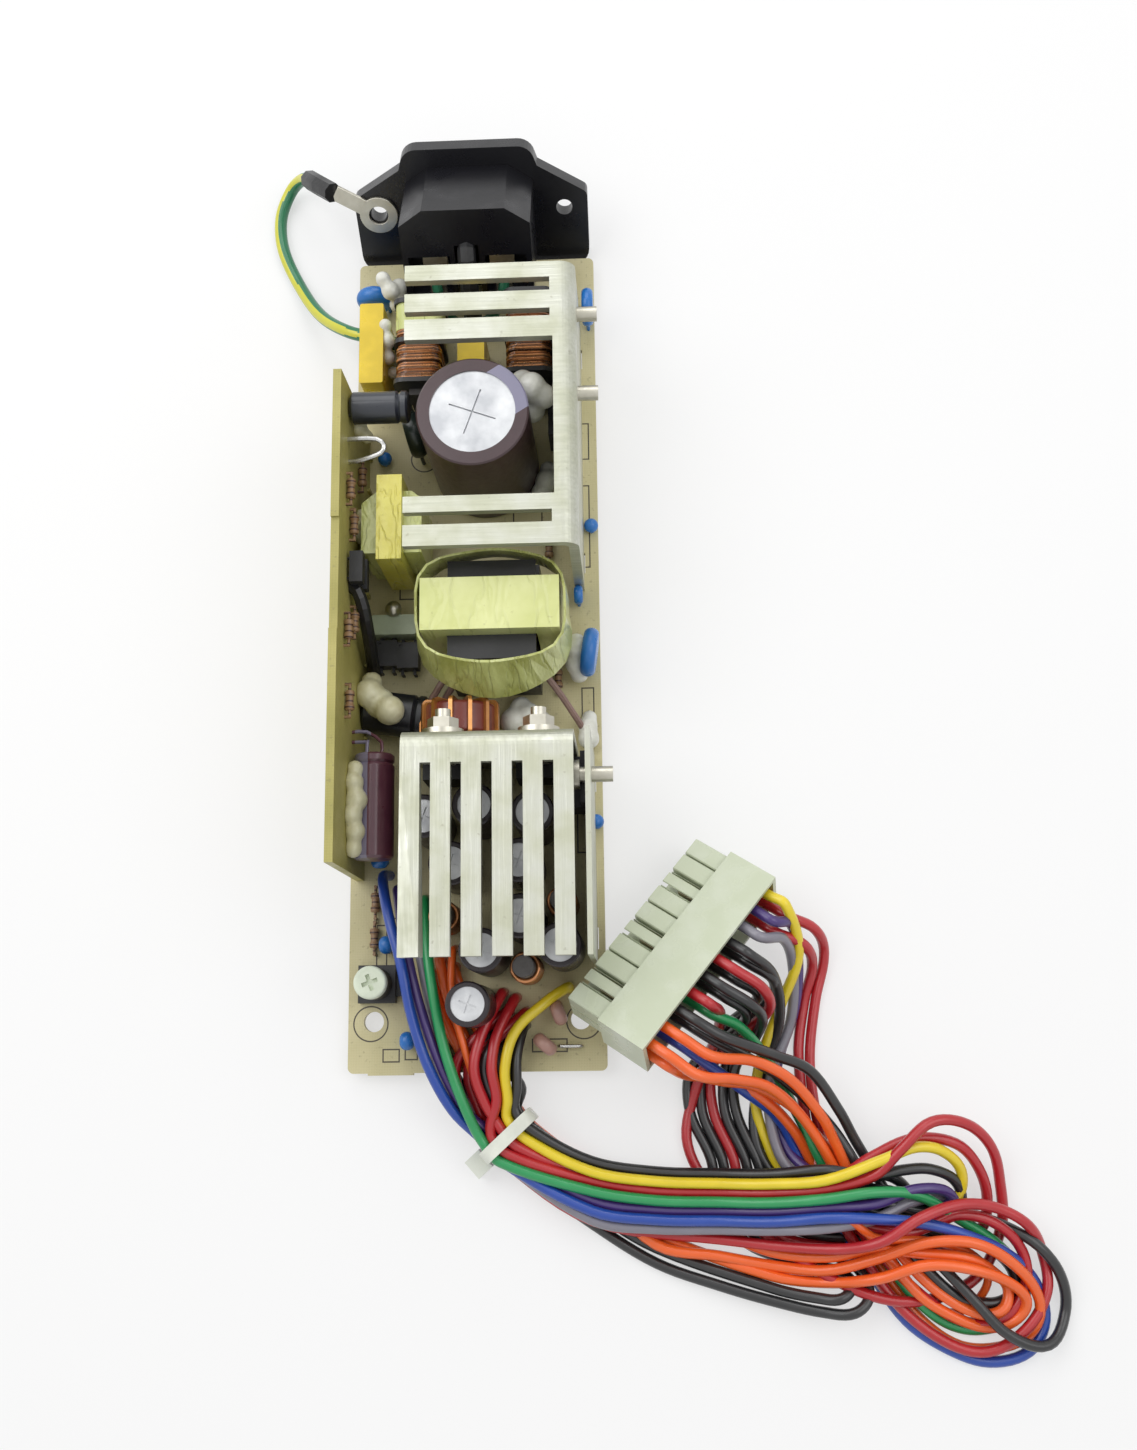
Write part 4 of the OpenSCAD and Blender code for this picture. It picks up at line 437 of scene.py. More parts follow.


# Heatsinks and their screws.
# Two aluminium sheets, sheared into fingers and folded, and a flat one at the right, held by plated
# screws. The rolled metal has long fine scratches, a greenish pale film and scattered dark stains.
def rolled_sheet(name, colour, grain):
    """Mill finish aluminium, its rolling lines drawn out by this stretch along the sheet."""
    material, place = start_finish(name, Metallic=0.6)
    rolling = specks(place, 0.0006, 6.0, grain)
    film = specks(place, 0.007, 5.0).between(0.35, 0.65)
    stain = specks(place, 0.0014, 8.0).between(0.66, 0.76)
    bare = film.mix(colour, (0.47, 0.48, 0.37))
    scratched = (rolling.between(0.35, 0.7) * 0.3).mix(bare, (0.32, 0.33, 0.25))
    return varies(material, Base_Color=(stain * 0.45).mix(scratched, (0.22, 0.20, 0.14)),
                  Roughness=rolling * 0.3 + film * 0.15 + 0.18, Normal=relief(rolling, 0.00012, 0.6))


give(rolled_sheet("primary_sheet", (0.58, 0.59, 0.52), (0.04, 1, 1)), "primary_heatsink")
give(rolled_sheet("secondary_sheet", (0.60, 0.61, 0.54), (1, 0.04, 1)), "secondary_heatsink")
give(rolled_sheet("side_sheet", (0.55, 0.56, 0.49), (1, 0.04, 1)), "side_heatsink")
plated, place = start_finish("plated_steel", Metallic=1.0)
varies(plated, Base_Color=specks(place, 0.002).mix((0.60, 0.58, 0.51), (0.42, 0.40, 0.33)),
       Roughness=specks(place, 0.0007, 5.0) * 0.3 + 0.2)
give(plated, "fasteners")

# Post screw.
# A pale nylon screw with a cross recess, turned into a black moulded post that stands at the output end
# of the board.
give(moulded("white_nylon", (0.66, 0.72, 0.58), 0.4), "post_screw")
give(black_bobbin, "post_body")

# Adhesive.
# Hand laid lumps of white rubber that bond the tall parts, each one a few soft drops run together; those
# high on the control board have turned cream.
control_face = 2.8
remesh_step = 0.0004


def rubber(name, colour, deep):
    """Cured rubber: a soft gloss over shallow dents."""
    material, place = start_finish(name, Coat_Weight=0.3, Coat_Roughness=0.25)
    return varies(material, Base_Color=specks(place, 0.003, 4.0).between(0.35, 0.7).mix(colour, deep),
                  Roughness=specks(place, 0.0015) * 0.2 + 0.3,
                  Normal=relief(specks(place, 0.0022, 5.0), 0.0004, 0.7))


def drops_together(name, drops, material):
    """Drops, each (x, y, z, radius) in millimetres, run together by a fine remesh and flat on both boards."""
    merged = bmesh.new()
    for x, y, z, radius in drops:
        bmesh.ops.create_icosphere(merged, subdivisions=3, radius=radius / 1000,
                                   matrix=Matrix.Translation(on_board(x, y, z)))
    rough = bpy.data.meshes.new(name)
    merged.to_mesh(rough)
    merged.free()
    lump = set_out(name, rough)
    remesh = lump.modifiers.new("remesh", "REMESH")
    remesh.mode = "VOXEL"
    remesh.voxel_size = remesh_step
    soften = lump.modifiers.new("soften", "SMOOTH")
    soften.iterations = 12
    soften.factor = 0.6
    soft = bpy.data.meshes.new_from_object(lump.evaluated_get(bpy.context.evaluated_depsgraph_get()))
    lump.modifiers.clear()
    lump.data = soft
    soft.materials.clear()
    soft.materials.append(material)
    for vertex in soft.vertices:
        vertex.co.x = max(vertex.co.x, on_board(control_face, 0, 0)[0])
        vertex.co.z = max(vertex.co.z, board_t / 1000)
    for face in soft.polygons:
        face.use_smooth = True
    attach(lump, "root")
    return lump


white_rubber = rubber("white_rubber", (0.80, 0.80, 0.74), (0.66, 0.66, 0.58))
cream_rubber = rubber("cream_rubber", (0.78, 0.76, 0.54), (0.64, 0.60, 0.38))
lumps_with_a_solid = [
    ("black_can_adhesive", cream_rubber,
     [(5, 74.6, 9.8, 3.1), (9.2, 71, 10.2, 3.1), (7, 72.8, 8.4, 3.2), (5.2, 77.4, 8, 2.2)]),
    ("control_can_adhesive", cream_rubber,
     [(4, 42.2, 19, 1.9), (4.4, 45.4, 19.8, 2.1), (3.9, 48.4, 20.4, 2.1), (4.6, 51.4, 19.9, 2.3),
      (4, 54.8, 20, 2.1), (4.1, 57.6, 19, 1.8)]),
    ("choke_adhesive", white_rubber,
     [(39, 133.4, 23, 3.1), (37.2, 135.2, 21, 2.8), (41.4, 132, 21.6, 2.6), (38.6, 131, 18, 3)]),
    ("toroid_adhesive", white_rubber,
     [(33.6, 69.6, 3, 3), (36.6, 70.8, 3.4, 2.7), (39.2, 69.8, 2, 2.2), (35, 72.6, 2.4, 2.4)]),
    ("heatsink_adhesive", white_rubber,
     [(48.7, 66, 1.9, 2.3), (48.6, 68.6, 2.2, 2.1), (48.9, 70.4, 1.2, 1.7)]),
    ("disc_adhesive", white_rubber,
     [(46.8, 83.6, 6.4, 2.4), (46.4, 81, 5, 2.3), (47, 79.2, 3.4, 2), (46.6, 85.6, 4.4, 2)]),
]
lumps_in_the_scene_alone = [
    ("yellow_capacitor_adhesive", white_rubber,
     [(8.3, 151.6, 15.4, 1.5), (8.6, 148.8, 14, 1.8), (8.4, 146, 12, 1.6), (9, 144, 9, 1.4)]),
    ("blue_cap_adhesive", white_rubber,
     [(8.6, 161.4, 11.4, 2), (7.2, 163.6, 12.6, 1.7), (10.2, 163.2, 9, 2.2), (9.6, 160, 8, 1.8)]),
    ("bulk_foot_adhesive", white_rubber,
     [(39.6, 119, 1.6, 2.4), (40.8, 121.6, 2, 2.6), (41, 124.4, 1.2, 1.9)]),
    ("standby_adhesive", cream_rubber,
     [(3.2, 106.4, 14, 1.7), (3.6, 108.6, 15, 2), (3.4, 110.8, 13, 1.7)]),
    ("small_can_adhesive", cream_rubber,
     [(2.6, 130.6, 19, 1.7), (3.4, 128.2, 18, 2), (5, 126.6, 16.6, 1.5)]),
]
for name, finish, drops in lumps_with_a_solid:
    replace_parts(drops_together(name, drops, finish), "adhesive")
for name, finish, drops in lumps_in_the_scene_alone:
    drops_together(name, drops, finish)

# Output harness, its tie and its connector.
# Twenty stranded wires in plain coloured insulation run from the board's near edge through a nylon tie,
# lie on the table in loose loops and come back up into the crimps of a pale nylon connector.
wire_d = 2.1
sense_d = 1.6
lane_pitch = 2.15
middle_lane = 2
tie_at = (32, -12)
tie_heading = math.radians(-48)
tie_half_w = 2.6
tie_lift = 1.1
connector_at = Vector((50, 9.5, 19.9))
connector_turn = (Matrix.Rotation(math.radians(50.7), 3, "Z") @ Matrix.Rotation(math.radians(16), 3, "Y")
                  @ Matrix.Rotation(math.radians(-19), 3, "X"))
circuit_pitch = 4.2
housing_end = 0.6
rows_middle = -5
last_stretch = (-14.4, -10.9, -5.4)

connector_nylon = moulded("connector_nylon", (0.54, 0.59, 0.43), 0.32, 0.0008, worn=(0.62, 0.66, 0.54))
give(connector_nylon, "connector_housing")
give(tinned, "connector_contacts")
give(moulded("tie_nylon", (0.72, 0.74, 0.66), 0.35), "cable_tie")


def insulation(name, colour):
    """Extruded insulation: smooth and glossy, with a faint dust and rub."""
    material, place = start_finish(name, Coat_Weight=0.35, Coat_Roughness=0.2)
    rub = specks(place, 0.005, 4.0).between(0.45, 0.75)
    return varies(material, Base_Color=(rub * 0.35).mix(colour, [min(1, c * 1.25 + 0.02) for c in colour]),
                  Roughness=specks(place, 0.0012) * 0.2 + 0.25,
                  Normal=relief(specks(place, 0.0008), 0.00003, 0.5))


colours = {
    "orange": insulation("orange_insulation", (0.88, 0.13, 0.015)),
    "red": insulation("red_insulation", (0.45, 0.012, 0.018)),
    "black": insulation("black_insulation", (0.012, 0.012, 0.013)),
    "yellow": insulation("yellow_insulation", (0.80, 0.62, 0.02)),
    "blue": insulation("blue_insulation", (0.012, 0.06, 0.36)),
    "green": insulation("green_insulation", (0.015, 0.30, 0.09)),
    "purple": insulation("purple_insulation", (0.055, 0.025, 0.16)),
    "grey": insulation("grey_insulation", (0.22, 0.21, 0.25)),
}


def tied(lane, layer):
    """Where a wire of this lane and layer enters and leaves the tie."""
    s = (lane - middle_lane) * lane_pitch
    return [(tie_at[0] - s * math.sin(tie_heading) + along * math.cos(tie_heading),
             tie_at[1] + s * math.cos(tie_heading) + along * math.sin(tie_heading),
             table + tie_lift + layer * lane_pitch) for along in (-tie_half_w, tie_half_w)]


def plugged(circuit, row, dx, dz):
    """The last straight stretch into the connector, to the crimp."""
    x = housing_end + (circuit + 0.5) * circuit_pitch + dx
    z = rows_middle + (0.5 - row) * circuit_pitch + dz
    return [connector_at + connector_turn @ Vector((x, y, z)) for y in last_stretch]


def lay_wire(name, colour, lane, layer, circuit, row, start, run, d=wire_d, dx=0.0, dz=0.0, solid=True):
    """One wire from its hole in the board to its crimp, on a smooth curve through its route."""
    places = [on_board(*p) for p in start + tied(lane, layer) + run + plugged(circuit, row, dx, dz)]
    line = bpy.data.curves.new(name, "CURVE")
    line.dimensions = "3D"
    line.bevel_depth = d / 2000
    line.bevel_resolution = 3
    line.resolution_u = 6
    line.use_fill_caps = True
    line.materials.append(colours[colour])
    spline = line.splines.new("BEZIER")
    spline.bezier_points.add(len(places) - 1)
    for i, point in enumerate(spline.bezier_points):
        before = places[max(i - 1, 0)]
        after = places[min(i + 1, len(places) - 1)]
        along = (after - before).normalized() / 3
        point.co = places[i]
        point.handle_left = places[i] - along * (places[i] - before).length
        point.handle_right = places[i] + along * (after - places[i]).length
    wire = set_out(name, line)
    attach(wire, "root")
    if solid:
        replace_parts(wire, colour + ("_wires" if colour in ("orange", "red", "black") else "_wire"))


# One wire of each colour stands for the solid that the part's source has for that colour.
lay_wire("orange_1_lead", "orange", lane=3, layer=0, circuit=0, row=1, dx=-0.6, dz=0.5,
         start=[(18.6, 22, 0), (18.6, 21.6, 3), (21, 12, 3), (26.6, 1, 1.3), (29.4, -5, -1)],
         run=[(48, -21.7, -2.5), (60, -32.6, -0.4), (72, -34.8, -0.4), (82, -36.6, -0.4), (92, -37.2, 2),
              (101, -34.6, 6), (110, -31.8, 7), (119, -32, 6.6), (127, -36.6, 3.6), (131.6, -43, 0),
              (130.6, -48.4, -1.6), (125.4, -51.6, -2.5), (117, -51.6, -2.5), (109.6, -46.6, -2.5),
              (103, -37.6, -2.5), (91.6, -20, -2.5), (86.8, -11.4, 1), (80.4, -5, 5), (73, -1.6, 8.4),
              (66.6, -0.8, 11.4)])
lay_wire("red_1_lead", "red", lane=1, layer=3, circuit=3, row=0,
         start=[(33.6, 14.4, 0), (33.2, 13.6, 3.6), (30.2, 7, 7), (29.2, 1, 7.6), (30, -5, 6)],
         run=[(48, -20.5, 2.6), (60, -22.4, 2.6), (72, -22.8, 2.6), (82, -22.8, 4.8), (92, -22, 7),
              (101, -19.6, 7.4), (106, -14.8, 9), (112, -10, 8.6), (119, -10.6, 6), (124, -15, 2.6),
              (126, -22, -1), (126, -30, -2.5), (121, -39, -2.5), (111, -43, -0.6), (100, -41.8, 1.9),
              (88, -36, 0), (77, -28, -2.5), (69.6, -21, -2.5), (66.4, -13, -2.5), (68.4, -4, -1.6),
              (72, 5, 5), (73, 10.4, 12)])
lay_wire("black_1_lead", "black", lane=4, layer=3, circuit=6, row=0,
         start=[(35.4, 9, 0), (35, 8.4, 3), (33.9, 3, 5.4), (33.8, -3, 5)],
         run=[(48, -16.9, 2.6), (60, -18.9, 2.6), (72, -19.4, 2.6), (82, -19.4, 4.8), (92, -18.6, 7),
              (101, -20, 5.6), (106.4, -18.9, 5.4), (112, -18.8, 5), (117, -21.4, 2.6),
              (117.6, -26, 0.4), (110, -29.2, 1.4), (100, -28.6, 1.9), (90, -25.2, 0),
              (82.6, -19.6, -2.5), (79.6, -12, -2.5), (81, -2, -2), (85, 9, 1), (83.6, 17.6, 8)])
lay_wire("yellow_lead", "yellow", lane=3, layer=3, circuit=9, row=0,
         start=[(44, 16, 0), (43.6, 16, 3.4), (39.6, 13.2, 6), (33.8, 7.8, 7), (31.7, 1, 7),
                (32, -5, 5.4)],
         run=[(48, -18.7, 4), (60, -20.6, 4), (72, -21.1, 4), (82, -21.1, 6.2), (92, -20.3, 8.4),
              (103, -16.6, 8.4), (109, -14.6, 7.6), (114, -15.4, 6), (118, -19.4, 3), (117, -24.4, 1.4),
              (109, -27, 1.9), (100, -26.4, 1.9), (91, -23.6, 0), (85, -20, -2.5), (82, -14, -2.5),
              (80, -7, -1.4), (81, 1, -0.6), (85.4, 12, 0.6), (89, 22, 4.6)])
lay_wire("blue_lead", "blue", lane=0, layer=2, circuit=1, row=1,
         start=[(8, 39, 0), (7.4, 38, 5), (9.4, 30, 10), (12, 21, 11), (14, 11, 9.8), (17, 1.5, 8.4),
                (21.4, -7, 5)],
         run=[(48, -25.9, 4), (60, -27.6, 4), (72, -27.9, 4), (82, -27.9, 6.2), (92, -27.1, 8.4),
              (101, -27.4, 8.2), (110, -28.4, 7), (118, -30.8, 5.4), (126, -34.6, 2), (131.4, -40, -1.4),
              (133, -47, -2.5), (129.6, -52.6, -2.5), (122, -54.4, -2.5), (114.4, -52, -2.5),
              (107, -47, -2.5), (100.6, -38, -2.5), (89.3, -20, -2.5), (84.6, -10, 0), (76.6, -3.4, 7),
              (69.6, 1.6, 14)])
lay_wire("green_lead", "green", lane=0, layer=3, circuit=3, row=1,
         start=[(15.5, 34, 0), (15.6, 33, 4), (17, 22, 9), (19.4, 8, 9), (21.6, 0, 8), (24.6, -8, 6)],
         run=[(48, -22.3, 4), (60, -24.1, 4), (72, -24.5, 4), (82, -24.5, 6.2), (92, -23.7, 8.4),
              (101, -22.6, 8.4), (109, -23.4, 6), (117, -28, 2.6), (125, -33.4, 0), (129.6, -40, -2.5),
              (128, -46, -2.5), (121, -48.6, -2.5), (114.6, -47.4, -2), (108.6, -42.6, -0.4),
              (101.6, -33, -0.4), (93.4, -20, -0.4), (88, -9, 0), (82.6, 1, 4), (76.6, 8, 10.6)])
lay_wire("purple_lead", "purple", lane=1, layer=2, circuit=8, row=0,
         start=[(10, 36, 0), (10.4, 35, 5), (12.4, 25, 8.4), (15, 14, 8.4), (19.4, 1, 6.6),
                (24.4, -8, 3.4)],
         run=[(48, -24.1, 2.6), (60, -25.9, 2.6), (72, -26.2, 2.6), (82, -26.2, 4.8), (92, -25.4, 7),
              (101, -24.8, 6.8), (108, -22.4, 6.6), (114, -22.6, 4.8), (116, -25, 2.4),
              (110, -24.6, 1.4), (100, -22.2, 1.9), (93.4, -21, 1.6), (87, -17, -1.4), (84, -10, -2.5),
              (84.4, 0, -2.5), (88.4, 12, -1), (89, 22, 2.6), (87.4, 27.4, 7.6)])
lay_wire("grey_lead", "grey", lane=0, layer=1, circuit=7, row=0,
         start=[(13.5, 33, 0), (13.8, 32, 4), (15, 24, 6.6), (17.4, 12, 6), (20.4, 1, 4.2),
                (25, -8.6, 1)],
         run=[(48, -27.7, 2.6), (60, -29.4, 2.6), (72, -29.6, 2.6), (82, -29.6, 4.8), (92, -29, 7),
              (101, -27.6, 6), (108, -24.8, 4.4), (115, -24.4, 1), (112, -26.8, -0.6), (105, -25.2, 1.4),
              (98, -24.2, 1.6), (86.4, -19.4, -0.4), (83, -12, -0.6), (83, -2, -1), (87.4, 9, -1),
              (88, 19, 2.6), (85.8, 24.4, 8.6)])

# The other twelve lie among those eight, and the part's source has no solid for them.
lay_wire("orange_2_lead", "orange", lane=2, layer=0, circuit=0, row=0, solid=False,
         start=[(16.4, 19.6, 0), (16.8, 18.4, 2.8), (19.6, 10, 2.2), (24, 1, 1.3), (28, -6.6, -1)],
         run=[(48, -24, -2.5), (60, -31, -2.5), (82, -38.5, -0.3), (92, -39.6, 0.6), (101, -38.2, 6),
              (110, -35.8, 6.6), (119, -36.8, 6), (126.4, -40, 3), (129, -43.6, 0.8), (126, -47.2, -0.6),
              (121, -47.8, -0.4), (115, -45.6, 0.6), (109.4, -42, 1.6), (104.2, -36, 1.9),
              (96.4, -24.8, 1.8), (94.4, -19, 1.5), (88.6, -9.4, 5), (82, -3.4, 10.6), (75, -1.6, 16),
              (68.4, -0.8, 20.4)])
lay_wire("orange_3_lead", "orange", lane=4, layer=0, circuit=1, row=0, solid=False,
         start=[(21.4, 20.6, 0), (21.6, 19.4, 2.6), (23.4, 14, 1.8), (28.8, 2, 1.3), (31.6, -4, -1)],
         run=[(48, -19, -2.5), (60, -25.8, -2.5), (72, -30.3, -1.2), (82, -34.1, -0.3), (92, -34.8, 2.2),
              (101, -33.2, 4.6), (110, -34, 4.7), (118.4, -35, 4.4), (123.4, -38, 1.8),
              (125.8, -41, 0.6), (124.4, -44.6, 1), (120, -45.2, 1.2), (113.3, -41.8, 1.8),
              (107.2, -36, 1.9), (99, -24.9, 1.8), (96.8, -19, 1.5), (94.6, -14, 2.4), (92, -9, 5),
              (86, -2, 9.6), (79, 1.6, 13.6), (71, 2.6, 18.8)])
lay_wire("orange_4_lead", "orange", lane=2, layer=2, circuit=0, row=1, d=sense_d, dx=0.8, dz=-0.9,
         solid=False,
         start=[(21.4, 24.2, 0), (21.2, 23, 4), (21.4, 14, 6), (24.6, 2, 5.6), (27.6, -6, 4)],
         run=[(48, -23.9, 1.3), (72, -26.1, 1.8), (92, -25.7, 5.4), (96.4, -27.8, 7.4), (101, -31, 6),
              (110, -31.6, 5.2), (118, -33.8, 2.4), (122.4, -38.4, -0.2), (120.4, -43.6, -2.5),
              (115.4, -45.6, -2.3), (110.8, -43.2, -0.9), (105.6, -37, -0.4), (101.4, -30, -0.2),
              (98.2, -23, -0.4), (95, -17, -1.2), (91.6, -12.6, 0), (86, -7, 3.8), (79, -3.2, 7.8),
              (73, -2.2, 11.4), (68.4, -1, 14.8)])
lay_wire("red_2_lead", "red", lane=2, layer=3, circuit=5, row=0, solid=False,
         start=[(31, 15.4, 0), (30.6, 14.6, 3.8), (27.2, 7, 7.2), (25.8, 1, 7.6), (27.4, -5, 6)],
         run=[(48, -19.4, 1.2), (72, -21.9, 1.4), (92, -21.4, 5.4), (101, -16.4, 5.4), (109, -13.2, 5.2),
              (117, -14.2, 4.4), (121.6, -19, 1.6), (123.4, -25.6, -1.4), (121.4, -31.4, -2.5),
              (114, -33.8, -2.5), (94, -33.6, -2.5), (85, -32, -2.5), (80, -29.2, -2.5),
              (76.6, -24, -2.5), (75.4, -17, -2.5), (71.8, -8, -2.5), (72, 1, -1.6), (77, 6.4, 3.4),
              (82.4, 11, 8.6), (81.2, 14.8, 13.6)])
lay_wire("red_3_lead", "red", lane=0, layer=1, circuit=8, row=1, solid=False,
         start=[(32.2, 11.8, 0), (31.6, 11.4, 2.6), (26, 6.8, 4), (21.8, 1, 3.5), (23.8, -8, 1.2)],
         run=[(48, -28.2, -0.6), (72, -31.6, 0.6), (92, -33, 5.2), (101, -31.4, 9.6), (109, -27, 9.4),
              (117, -25, 7), (124, -26, 4.4), (130, -29.4, 2.4), (133.2, -35, -1.4), (133.4, -41.6, -1),
              (128.8, -48.4, -0.4), (121.4, -52.2, -0.4), (113.4, -50.2, -0.4), (104.6, -43, -0.6),
              (96.2, -30, -0.3), (93.4, -23.4, -0.3), (90.6, -15.6, -2.4), (88.8, 2, -2.5),
              (90.4, 13, -2.4), (92, 19.6, -0.2), (90.2, 23.4, 4.8)])
lay_wire("red_4_lead", "red", lane=1, layer=1, circuit=9, row=1, solid=False,
         start=[(35.6, 11.6, 0), (35, 11, 2.6), (29.6, 6, 4.8), (24.4, 1, 3.6), (26, -7, 1.2)],
         run=[(48, -25.5, -0.6), (72, -27.2, -0.1), (92, -27.6, 3.4), (101, -29.4, 3.9),
              (107, -30.2, 4.9), (112, -29, 3.6), (117, -27.2, 3.6), (123.6, -28.8, 3),
              (128.8, -34, 0.8), (129.2, -40.6, 0), (125, -46, -0.4), (118, -47, -0.2),
              (109, -41.4, 1.5), (98.8, -30, -0.3), (95.8, -23, -0.3), (93.2, -15.6, -2.4),
              (91.6, -8, -2.5), (91, 2, -2.5), (92.6, 13, -2.5), (94.6, 22, -1.2), (92.4, 26.6, 3.8)])
lay_wire("black_2_lead", "black", lane=4, layer=1, circuit=4, row=0, solid=False,
         start=[(33, 6.6, 0), (32.8, 6, 2.4), (32.2, 1, 3.5), (34.4, -3.2, 0.8)],
         run=[(48, -18.2, -0.6), (72, -20.9, -0.1), (92, -20.4, 3.6), (99, -19.4, 4.1),
              (105, -20.4, 2.1), (108.4, -23.4, 0.2), (109, -27, 0.5), (106.8, -29.3, -1.1),
              (101, -29.4, -2.5), (92, -29, -2.5), (83.2, -26, -2.5), (79.8, -17, -2.5),
              (76.2, -8, -2.5), (76.2, 0, -0.9), (80, 6, 4.6), (81, 9.6, 10.4), (78.4, 12.2, 15)])
lay_wire("black_3_lead", "black", lane=3, layer=1, circuit=6, row=1, solid=False,
         start=[(30.6, 5.6, 0), (30.4, 5, 2.2), (29.8, 1, 3.5), (30.9, -4.2, 1.4)],
         run=[(48, -20.7, -0.6), (72, -23, -0.1), (92, -22.5, 3.6), (101, -22.4, 4), (106, -23.2, 3.6),
              (110.6, -25.2, 1.6), (113.6, -28.6, -0.2), (112, -31.4, -2.2), (104, -31.6, -2.5),
              (94, -31.7, -2.5), (86, -30, -2.5), (81.6, -27.4, -2.5), (78.8, -22.6, -2.5),
              (77.6, -17, -2.5), (74, -8, -2.5), (74.6, 1, -2.5), (78.6, 9, -1.8), (83.4, 13.8, 2.4),
              (83.4, 17, 8)])
lay_wire("black_4_lead", "black", lane=2, layer=1, circuit=2, row=1, solid=False,
         start=[(28.6, 8.4, 0), (28.4, 7.8, 2.2), (27.8, 3.6, 3.8), (27.8, 0, 3.4), (28.8, -5.8, 1.4)],
         run=[(48, -23.1, -0.6), (72, -25.1, -0.1), (92, -24.8, 3.6), (101, -26.4, 3.8),
              (106.6, -28.6, 4.2), (111.8, -30.6, 2.6), (118, -31.8, 1.2), (124.4, -34.6, 0),
              (127.6, -39.4, -1.2), (125.4, -43, -0.9), (120, -43.4, 0.3), (115.6, -41.8, 1.5),
              (109.6, -36, 1.9), (105, -30, 1.9), (95.8, -13.4, 1.4), (90, -6.4, 2.8), (83, -0.6, 6),
              (72.8, 4.8, 14)])
lay_wire("black_5_lead", "black", lane=3, layer=2, circuit=2, row=0, solid=False,
         start=[(31.6, 9, 0), (31.4, 8.4, 2.4), (28.8, 4.6, 6), (27.6, 0.4, 5.8), (29.6, -5.4, 4.5)],
         run=[(48, -21.7, 1.3), (72, -24, 1.8), (92, -23.6, 5.6), (101, -24.4, 5.4), (110, -26.6, 3.6),
              (117, -26.8, 1.5), (125, -29.2, 0.6), (131.6, -33, 1.6), (136, -38.8, -0.4),
              (136.8, -45.6, -2.3), (132.6, -51, 0.2), (125, -48.8, 2.2), (118.4, -42, 3.4),
              (112.9, -36, 2.2), (107.6, -30, 1.9), (102.6, -20.6, 0.4), (98.6, -13.6, 0.8),
              (95.6, -8, 2.8), (90, -0.4, 6.4), (83, 2.6, 10.6), (77.4, 4.6, 15.2), (72.6, 6.4, 18)])
lay_wire("black_6_lead", "black", lane=1, layer=0, circuit=4, row=1, solid=False,
         start=[(19.6, 5, 0), (19.8, 4, 2), (21.4, -0.4, 1.5), (26.6, -8, -1)],
         run=[(48, -26.4, -2.5), (60, -33.5, -2.5), (82, -40.7, -0.2), (90, -42.2, 1.4),
              (94.6, -42.2, 2.4), (96.8, -39.8, 0.4), (94.4, -37.9, -2.1), (90, -37, -2.5),
              (83, -35.2, -2.5), (76.9, -32.2, -2.5), (72.2, -24.6, -2.5), (71, -17, -2.5),
              (67.2, -8, -2.5), (67.6, 0, -1.6), (72.6, 4.4, 1.8), (77, 8, 6.4), (77.8, 10.8, 11.2)])
lay_wire("black_7_lead", "black", lane=0, layer=0, circuit=5, row=1, solid=False,
         start=[(17, 6.6, 0), (17.2, 5.6, 2), (18.8, 0, 1.5), (24.2, -8.9, -1)],
         run=[(48, -29.1, -2.5), (60, -36.3, -2.5), (72, -40.3, -1.2), (82, -43, -0.2), (91, -44.8, 1.2),
              (96.8, -44.8, 2.4), (99.8, -41.8, 1.2), (98.2, -37.4, -0.6), (94, -35.2, -2.4),
              (84, -33.2, -2.5), (78.4, -30.7, -2.5), (74.4, -24.2, -2.5), (73.2, -17, -2.5),
              (69.6, -8, -2.5), (70.4, 1, -2.4), (74.6, 8, -0.6), (79.4, 12, 4.6), (80.2, 14.4, 9.8)])

# Earth lead and its ring terminal.
# Green wire with a yellow stripe, from beside the yellow capacitor round the inlet's left ear into a
# shrunk sleeve and a stamped and tinned ring, which lies on the flange over the ear's hole.
earth_points = [(13, 151, 0), (11.6, 151.4, 4), (6.6, 152, 8), (-1, 154.6, 7), (-8, 161, 2),
                (-13.6, 170, -2), (-17.6, 179, -2.2), (-18.4, 187, -2.2), (-16, 193, -1),
                (-12.4, 193.4, 3), (-9.4, 189.6, 8)]
earth_d = 2.7
earth_sides = 32
earth_steps = 6
stripe_faces = Vector((-0.75, -0.1, 0.66))
stripe_edge = 0.8
inlet_x = 25.5
board_len = 173.6
inlet_setback = 0.4
inlet_lean = 31
ear_at = (-20, 14)
ring_turn = 148
ring_r = 4
ring_hole_r = 2.15
ring_t = 0.8
ring_edge = 0.1
ring_gap = 0.05
tongue_l = 10.2
tongue_w = 3.2
neck_angle = 24


def smooth_route(points, steps):
    """Places on a smooth curve through the points, this many to each stretch."""
    p = [Vector(q) for q in points]
    last = len(p) - 1
    route = []
    for i in range(last):
        p0, p1, p2, p3 = p[max(i - 1, 0)], p[i], p[i + 1], p[min(i + 2, last)]
        for t in [k / steps for k in range(steps)]:
            route.append(0.5 * (2 * p1 + (p2 - p0) * t + (2 * p0 - 5 * p1 + 4 * p2 - p3) * t * t
                                + (3 * p1 - p0 - 3 * p2 + p3) * t * t * t))
    return route + [p[last]]


def swept(route, radius, sides):
    """Rings of points along a route, carried without twist, and the faces between them."""
    points = []
    side = Vector((1, 0.2, 0.1))
    for i, p in enumerate(route):
        along = (route[min(i + 1, len(route) - 1)] - route[max(i - 1, 0)]).normalized()
        side = (side - side.dot(along) * along).normalized()
        other = along.cross(side)
        for turn in [math.tau * k / sides for k in range(sides)]:
            points.append(p + radius * (math.cos(turn) * side + math.sin(turn) * other))
    faces = []
    for i in range(0, sides * (len(route) - 1), sides):
        for k in range(sides):
            after = (k + 1) % sides
            faces.append((i + k, i + after, i + sides + after, i + sides + k))
    return points, faces


